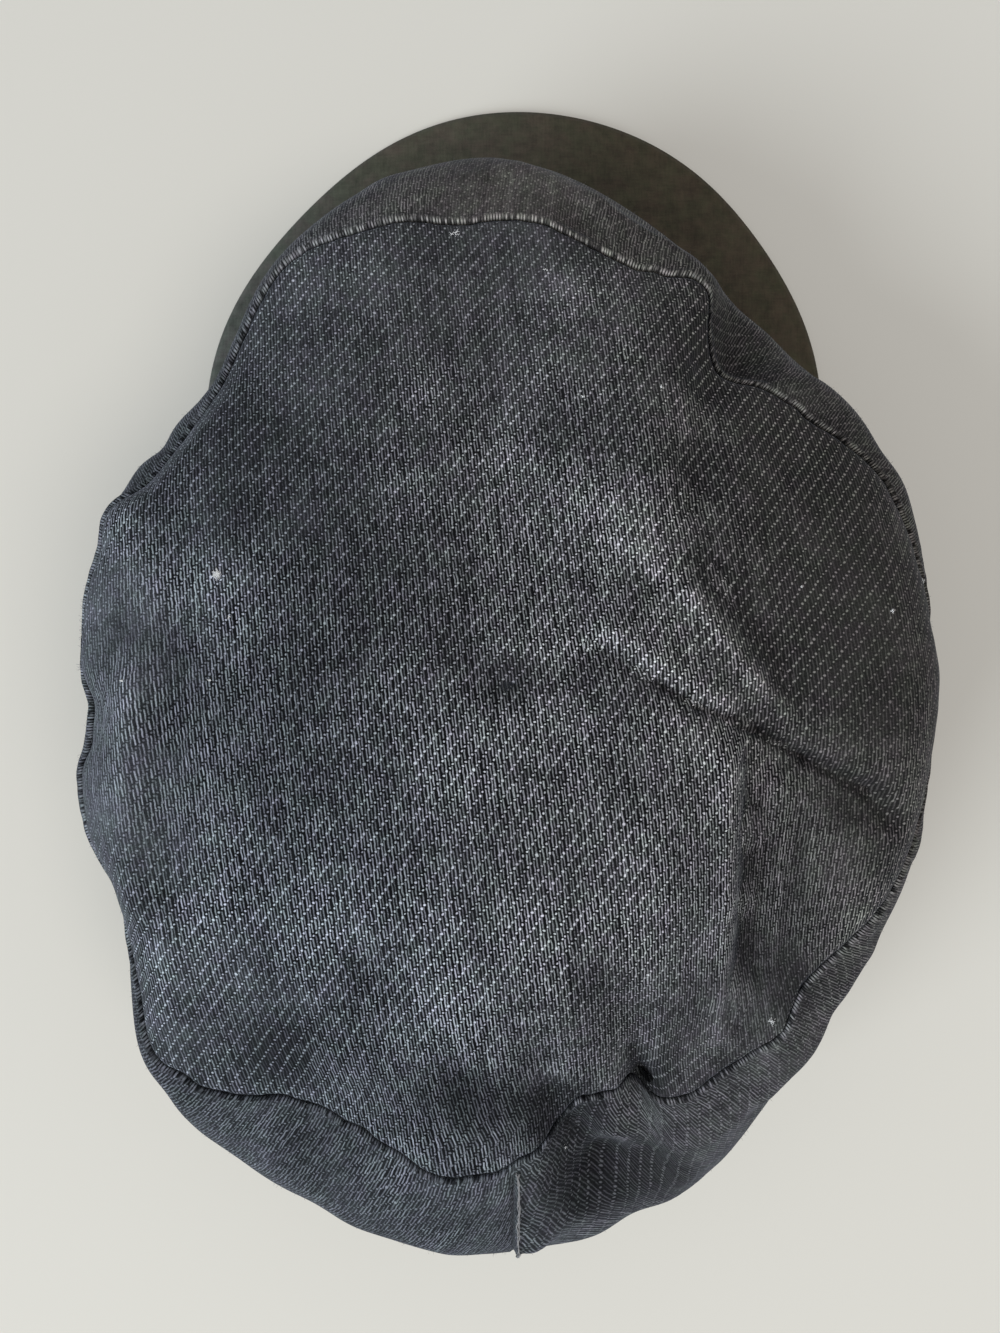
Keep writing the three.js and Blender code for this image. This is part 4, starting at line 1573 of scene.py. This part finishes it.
def frayed_and_highlight_ticks(sums):
    """The weave's cut ends beside the seam, pale as frayed ends and as a painted highlight on the roll, one
    for each millimetre or so, and the dark notches between.
    """
    way = sums.times(sums.number("seam_way"), ticks_a_millimetre)
    way = sums.plus_times(sums.noise(sums.place(way, 2.0), 0.4, 1.0), tick_wander, way)
    cell = sums.sum("FLOOR", way)
    from_middle = sums.sum("ABSOLUTE", sums.take(sums.take(way, cell), 0.5))
    shows = sums.rise(sums.dice(sums.place(cell, 9.0)), *ticks_shown)
    ticks = sums.times(sums.times(sums.rise(from_middle, *tick_grows), shows), sums.number("edge"))
    cut = sums.rise(sums.dice(sums.place(sums.sum("ROUND", way), 4.0)), *notches_shown)
    notches = sums.times(sums.times(sums.rise(from_middle, *notch_grows), cut), sums.number("edge"))
    return ticks, notches


# painted shade along the seam's ditch, broken here and there
def painted_seam_shade_line(sums):
    unrest = sums.noise(sums.place(sums.number("seam_way"), 5.0), *dark_line_waves)
    broken = sums.rise(unrest, *dark_line_grows)
    return sums.times(sums.number("painted_ditch_shade"), sums.plus_times(broken, 1 - dark_line_least, dark_line_least))


print(f"a tick stands every {1 / ticks_a_millimetre:.2f} mm along the seam")

# %% [markdown]
# The relief comes from the same numbers as the colour, so each thread's light lies on its own thread. It is
# a seventh of a millimetre deep, far too fine for the mesh, so it is bump. Old cotton hardly shines: the
# gloss is low, with a faint dusty sheen.

# %% The crown's twill
twill_depth = 0.00014
knuckle_height, fuzz_height, tick_height = 0.9, 0.6, 2.0
band_painted_shade = 0.85
fuzz_waves, nap_waves, nap_clouds = (2.4, 3.0, 0.8), (0.09, 3.0, 0.6), 0.9
wear_and_shade_from, knuckle_wear_and_shade_from = (-0.8, 1.6), (-0.35, 1.0)


def twill(name, shade=1.0):
    material, shader = material_with_shader(name, roughness=0.88, gloss=0.06)
    sums = NodeSums(material)
    u, v = cloth_place(sums)
    place = sums.place(u, v)
    floats, knuckles, thread_dice, float_dice, knuckle_dice = twill_threads(sums, u, v)
    ticks, notches = frayed_and_highlight_ticks(sums)
    wear_and_shade = wear_clouds(sums, u, v)
    wear_and_shade_mix = sums.rise(wear_and_shade, *wear_and_shade_from)
    fuzz = sums.noise(place, *fuzz_waves)
    nap = sums.add(sums.number("nap"), sums.times(sums.noise(place, *nap_waves), nap_clouds))

    colour = threads_colour(sums, floats, wear_and_shade_mix, fuzz, thread_dice, float_dice)
    colour = under_veil(sums, colour, nap, wear_and_shade_mix, fuzz)
    knuckle_colour = sums.blend(sums.rise(wear_and_shade, *knuckle_wear_and_shade_from), knuckle_dark, knuckle_worn)
    shown = knuckles_shown(sums, knuckles, knuckle_dice, nap, place)
    colour = sums.blend(shown, colour, knuckle_colour)
    colour = sums.blend(sums.times(notches, notch_dark), colour, gap_worn_and_ditch_shade)
    # pale ticks: frayed ends and a painted highlight on the roll
    colour = sums.blend(sums.times(ticks, tick_pale), colour, frayed_and_highlight_pale)
    # the painted light's tint, then painted shade in the seam's ditch
    colour = sums.blend(painted_seam_shade_line(sums), with_painted_light_and_blotches(sums, colour, place), gap_worn_and_ditch_shade)
    sums.put(shader.inputs["Base Color"], sums.scaled(colour, shade))

    height = sums.plus_times(knuckles, knuckle_height, floats)
    height = sums.plus_times(sums.take(ticks, notches), tick_height, height)
    sums.bump(shader, sums.plus_times(fuzz, fuzz_height, height), strength=0.45, depth=twill_depth)
    set_sheen(shader, 0.10, dusty_blue)
    return material


crown_twill = twill("crown_twill")
# the headband's copy of the twill is darker all over: painted shade
band_twill = twill("band_twill", band_painted_shade)
for piece in (crown_top, crown_side):
    piece.data.materials.append(crown_twill)
headband.data.materials.append(band_twill)
print("the crown's twill has", len(crown_twill.node_tree.nodes), "nodes")

# %% [markdown]
# The peak's cloth is finer and almost plain, a faded black with an olive cast. It is painted paler and
# greenish grey on the wearer's left, a painted reflection of the cool window's light, and darker brown on the
# right, painted shade. Its weave shows as faint short streaks both ways, with blotches of a few millimetres
# where the glue came through, and its edge is rubbed a little paler.

# %% The peak's cloth
peak_painted_cool_light, peak_olive = (0.075, 0.083, 0.079, 1), (0.051, 0.047, 0.035, 1)
peak_painted_warm_shade = (0.042, 0.035, 0.022, 1)
peak_green, peak_violet = (0.93, 1.03, 0.96, 1), (1.07, 0.97, 1.03, 1)
peak_sheen = (0.85, 0.92, 1.0, 1)
rib_pitch, bar_pitch = 0.42, 0.46
peak_depth = 0.00012
palest_least = 0.2
warp_streak, pick_streak, peak_blotch, peak_cloud, peak_fine = 0.6, 0.5, 1.3, 0.5, 0.5
peak_warp_waves, peak_pick_waves = (1.5, 0.22), (0.20, 1.6)
peak_blotch_waves, peak_cloud_waves = (0.28, 3.0, 0.6), (0.05, 3.0)
peak_fine_waves, peak_hue_waves, peak_hue_turns = (2.2, 3.0, 0.8), (0.14, 3.0, 0.7), (-0.2, 0.2)
cool_to_olive, olive_to_brown = (-1.0, -0.1), (-0.1, 0.9)
fine_height, rib_height = 2.0, 0.25


def peak_paleness(sums, u, v, fine):
    """Streaks both ways, the glue's blotches, clouds and the rubbed edge, about 1."""
    warp_streaks = sums.streaks(u, v, *peak_warp_waves, detail=3.0)
    pick_streaks = sums.streaks(u, v, *peak_pick_waves, detail=3.0)
    blotches = sums.noise(sums.place(u, v), *peak_blotch_waves)
    clouds = sums.noise(sums.place(u, v), *peak_cloud_waves)
    pale = sums.plus_times(warp_streaks, warp_streak, sums.plus_times(pick_streaks, pick_streak, 1.0))
    pale = sums.plus_times(blotches, peak_blotch, sums.plus_times(clouds, peak_cloud, pale))
    pale = sums.plus_times(fine, peak_fine, sums.add(pale, sums.number("wear_and_shade")))
    return sums.sum("MAXIMUM", pale, palest_least)


def peak_cloth():
    material, shader = material_with_shader("peak_cloth", roughness=0.8, gloss=0.2)
    sums = NodeSums(material)
    u, v = cloth_place(sums)
    fine = sums.noise(sums.place(u, v), *peak_fine_waves)
    painted_light_warmth = sums.number("painted_light_warmth")
    # painted light: paler and cooler on the left, darker and browner on the right
    colour = sums.blend(sums.rise(painted_light_warmth, *cool_to_olive), peak_painted_cool_light, peak_olive)
    colour = sums.blend(sums.rise(painted_light_warmth, *olive_to_brown), colour, peak_painted_warm_shade)
    colour = sums.scaled(colour, peak_paleness(sums, u, v, fine))
    hue = sums.rise(sums.noise(sums.place(u, v, 40.0), *peak_hue_waves), *peak_hue_turns)
    colour = sums.tinted(colour, sums.blend(hue, peak_green, peak_violet))
    sums.put(shader.inputs["Base Color"], colour)
    ribs = sums.sum("SINE", sums.times(u, 2 * math.pi / rib_pitch))
    bars = sums.sum("SINE", sums.times(v, 2 * math.pi / bar_pitch))
    height = sums.plus_times(fine, fine_height, sums.times(sums.add(ribs, bars), rib_height))
    sums.bump(shader, height, strength=0.5, depth=peak_depth)
    set_sheen(shader, 0.08, peak_sheen)
    return material


peak.data.materials.append(peak_cloth())
print(f"the peak's ribs lie {rib_pitch} mm apart")

# %% [markdown]
# Loose fibres make cloth look used. A hair system would be quick, but it isn't a mesh and would be lost
# when the cap is exported. So each fibre is a thin tube with four sides, along a short bent line. Points
# on the cloth are found by a ray straight down.

# %% Loose fibres
tube_sides, pointed_to = 4, 0.45
across_all_fibres = (0.31, 0.22, 0.92)
ray_from = 0.2


def cloth_under(x, y):
    """The highest point and the outer direction of the cap under a place in millimetres."""
    best = None
    for piece in (crown_top, crown_side, peak):
        start = Vector((x / 1000, y / 1000, ray_from))
        hit, point, normal, _ = piece.ray_cast(start, Vector((0, 0, -1)))
        if hit and (best is None or point.z > best[0].z):
            best = (point * 1000, normal)
    return best


def tube(points, thickness):
    """Corners and faces of a tube along a bent line, in millimetres, thinner towards its end."""
    points = np.array(points, float)
    way = np.gradient(points, axis=0)
    way /= np.linalg.norm(way, axis=1, keepdims=True)
    side = np.cross(way, across_all_fibres)
    side /= np.linalg.norm(side, axis=1, keepdims=True)
    other = np.cross(way, side)
    size = thickness / 2 * np.linspace(1, pointed_to, len(points))[:, None]
    turns = np.arange(tube_sides) * 2 * np.pi / tube_sides
    rings = [points + size * (np.cos(turn) * side + np.sin(turn) * other) for turn in turns]
    corners = np.stack(rings, 1).reshape(-1, 3)
    faces = []
    for ring in range(len(points) - 1):
        for k in range(tube_sides):
            a, b = ring * tube_sides + k, ring * tube_sides + (k + 1) % tube_sides
            faces.append((a, b, b + tube_sides, a + tube_sides))
    faces.append(tuple(range(tube_sides))[::-1])
    faces.append(tuple(range(len(corners) - tube_sides, len(corners))))
    return corners, faces


def bundle(name, tubes):
    """One mesh of many tubes."""
    corners, faces, first = [], [], 0
    for tube_corners, tube_faces in tubes:
        corners.append(tube_corners)
        faces += [tuple(first + corner for corner in face) for face in tube_faces]
        first += len(tube_corners)
    mesh = bpy.data.meshes.new(name)
    mesh.from_pydata((np.concatenate(corners) * metres).tolist(), [], faces)
    mesh.polygons.foreach_set("use_smooth", np.ones(len(faces), bool))
    print(name, len(faces), "faces")
    return new_piece(name, mesh)


def bent(start, way, length, curl, dice, steps=5):
    """A bent line from a start, in a direction that wanders by the curl at each step."""
    points, way = [np.array(start, float)], np.array(way, float)
    for _ in range(steps):
        way = way / np.linalg.norm(way) + curl * dice.normal(0, 1, 3)
        points.append(points[-1] + way / np.linalg.norm(way) * length / steps)
    return points


# %% [markdown]
# Along the side strip's roll the cut ends of the weave stand out of the seam as short pale hairs. They
# start just outside the seam, sunk a little into the cloth, and point outwards.

# %% Frayed ends along the seam
dice = np.random.default_rng(17)
frayed_ends, frayed_length, frayed_thickness = 900, 1.0, 0.11
frayed_scatter, frayed_rise, frayed_curl, frayed_sunk = 0.35, 0.35, 0.3, 0.05
frayed_from_seam, frayed_shares = (0.2, 0.6), (0.4, 1.2)
tubes = []
for angle in dice.uniform(0, 360, frayed_ends):
    outwards = np.array([math.sin(math.radians(angle)), -math.cos(math.radians(angle)), 0])
    place = np.array([*crown_middle, 0]) + outwards * (seam_at(angle)[0] + dice.uniform(*frayed_from_seam))
    under = cloth_under(place[0], place[1])
    if under is None:
        continue
    point, normal = np.array(under)
    way = outwards + frayed_rise * normal + dice.normal(0, frayed_scatter, 3)
    length = frayed_length * dice.uniform(*frayed_shares)
    line = bent(point - frayed_sunk * normal, way, length, frayed_curl, dice, steps=4)
    tubes.append(tube(line, frayed_thickness))
seam_fibres = bundle("seam_fibres", tubes)

# %% [markdown]
# The upright seam at the back shows its sewing thread, frayed into three strands that wander over each
# other down the ridge. Each strand is one long tube on the strip's own grid of points.

# %% The back seam's thread
thread_angle, thread_outwards = 180.4, 0.6
thread_wander, thread_lift, thread_lift_wander = 0.55, 0.12, 0.2
strands = [
    # thickness, seed
    (0.34, 4),
    (0.26, 6),
    (0.2, 9),
]
thread_steps = slice(8, 60)
along_seam = int(np.argmin(np.abs(side_angles - thread_angle)))
seam_points, thread_way = side_grid[along_seam, thread_steps], side_way[along_seam, thread_steps]
turn = math.radians(thread_angle)
outwards = np.array([math.sin(turn), -math.cos(turn), thread_outwards])
tubes = []
for thickness, seed in strands:
    wave = thread_wander * ripple(thread_way, 0 * thread_way, (3.1, 7.4, 12), seed)
    lift = thread_lift + thread_lift_wander * ripple(thread_way, 0 * thread_way, (2.3, 4.4), seed + 1)
    sideways = np.stack([wave, 0 * wave, 0 * wave], -1)
    tubes.append(tube(seam_points + outwards * lift[:, None] + sideways, thickness))
back_thread = bundle("back_thread", tubes)

# %% [markdown]
# A few specks of lint lie on the crown, one of them large, and one thread end sticks out under the peak's
# edge. A speck is a tangle of short curly fibres about one point.

# %% Lint and the thread's end
lint_specks = [
    # x, y, size, number of fibres
    (62.5, -22.8, 1.0, 70),
    (-32.3, -64.8, 0.5, 7),
    (-15.3, -62.7, 0.45, 7),
    (-7.3, -93.4, 0.5, 7),
    (13.3, -101.3, 1.1, 9),
    (59.8, -13.8, 0.5, 6),
    (80.7, -0.4, 0.5, 6),
    (63.5, -0.5, 0.45, 6),
    (-80.3, -15.1, 0.45, 6),
    (-91, -22.4, 0.5, 6),
    (-36.0, -40.9, 0.45, 6),
    (-61.3, -20.4, 0.4, 6),
    (-57, 74.8, 1.0, 14),
    (-11.3, 103.3, 0.5, 6),
]
lint_thickness, lint_curl, lint_up, lint_shares = 0.16, 0.7, 0.12, (0.8, 1.6)
lint_low, lint_lying = (1, 1, 0.2), (1, 1, 0.15)
tubes = []
for speck_x, speck_y, speck_size, fibres in lint_specks:
    point, normal = np.array(cloth_under(speck_x + crown_middle[0], speck_y + crown_middle[1]))
    for _ in range(fibres):
        start = point + normal * lint_up + dice.normal(0, speck_size / 4, 3) * lint_low
        way = dice.normal(0, 1, 3) * lint_lying
        length = speck_size * dice.uniform(*lint_shares)
        tubes.append(tube(bent(start, way, length, lint_curl, dice), lint_thickness))
lint = bundle("lint", tubes)

stub_at, stub_way = (-8.5, -149.0, 1.6), (-0.5, -0.4, 0.1)
stub_length, stub_curl, stub_thickness = 1.6, 0.25, 0.28
stub = tube(bent(stub_at, stub_way, stub_length, stub_curl, dice), stub_thickness)
thread_end = bundle("thread_end", [stub])

# %% [markdown]
# The side strip was rubbed least, so its nap still stands. It shows where the strip turns away from the
# eye, as a soft line round the cap. Short fibres stand off the strip's face at points drawn by dice.

# %% The nap on the side strip
nap_fibres, nap_length, nap_thickness = 2600, 0.75, 0.06
nap_scatter, nap_curl, nap_sunk, nap_shares = 0.7, 0.35, 0.03, (0.5, 1.3)
nap_steps = (6, side_grid.shape[1] - 4)
nap_dice = np.random.default_rng(23)
face_normals = np.cross(np.gradient(side_grid, axis=1), np.roll(side_grid, -1, 0) - np.roll(side_grid, 1, 0))
face_normals /= np.linalg.norm(face_normals, axis=-1, keepdims=True)
tubes = []
for _ in range(nap_fibres):
    spot = nap_dice.integers(0, side_grid.shape[0]), nap_dice.integers(*nap_steps)
    way = face_normals[spot] + nap_dice.normal(0, nap_scatter, 3)
    start = side_grid[spot] - nap_sunk * face_normals[spot]
    line = bent(start, way, nap_length * nap_dice.uniform(*nap_shares), nap_curl, nap_dice, steps=3)
    tubes.append(tube(line, nap_thickness))
strip_fibres = bundle("strip_fibres", tubes)

# %% [markdown]
# Each bundle gets a plain cotton finish in its own shade, a little uneven along its length. They carry no
# weave, so their unrest is laid by place on the cap.

# %% The fibres' materials
fibre_finishes = [
    # bundle, the record's slot, name, colour
    (seam_fibres, "crown_twill", "frayed_yarn", (0.30, 0.31, 0.33)),
    (back_thread, "crown_twill", "pale_thread", (0.24, 0.24, 0.25)),
    (lint, "crown_twill", "lint", (0.86, 0.87, 0.88)),
    (strip_fibres, "crown_twill", "nap", (0.11, 0.11, 0.12)),
    (thread_end, "peak_cloth", "thread", (0.10, 0.10, 0.09)),
]


def fibre_material(name, colour):
    material, shader = material_with_shader(name, roughness=0.8, gloss=0.2)
    sums = NodeSums(material)
    at = sums.node("ShaderNodeTexCoord").outputs["Object"]
    shade = sums.plus_times(sums.noise(at, 900.0), 0.8, 1.0)
    sums.put(shader.inputs["Base Color"], sums.scaled(colour, shade))
    return material


for piece, _, name, colour in fibre_finishes:
    piece.data.materials.append(fibre_material(name, colour))
print(len(fibre_finishes), "bundles of fibres")

# %% [markdown]
# The cloth pieces stand in for the solid model's pieces, and everything rides on the one body.

# %% Ends
sewn_pieces = [
    # piece, the solid model's node, the record's slot
    (crown_top, "crown_top", "crown_twill"),
    (crown_side, "crown_side", "crown_twill"),
    (headband, "headband", "crown_twill"),
    (peak, "peak", "peak_cloth"),
]
for piece, node, slot in sewn_pieces:
    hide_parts(node)
    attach(piece, "root")
for piece, slot, _, _ in fibre_finishes:
    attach(piece, "root")

print(len(sewn_pieces) + len(fibre_finishes), "pieces on the one body")
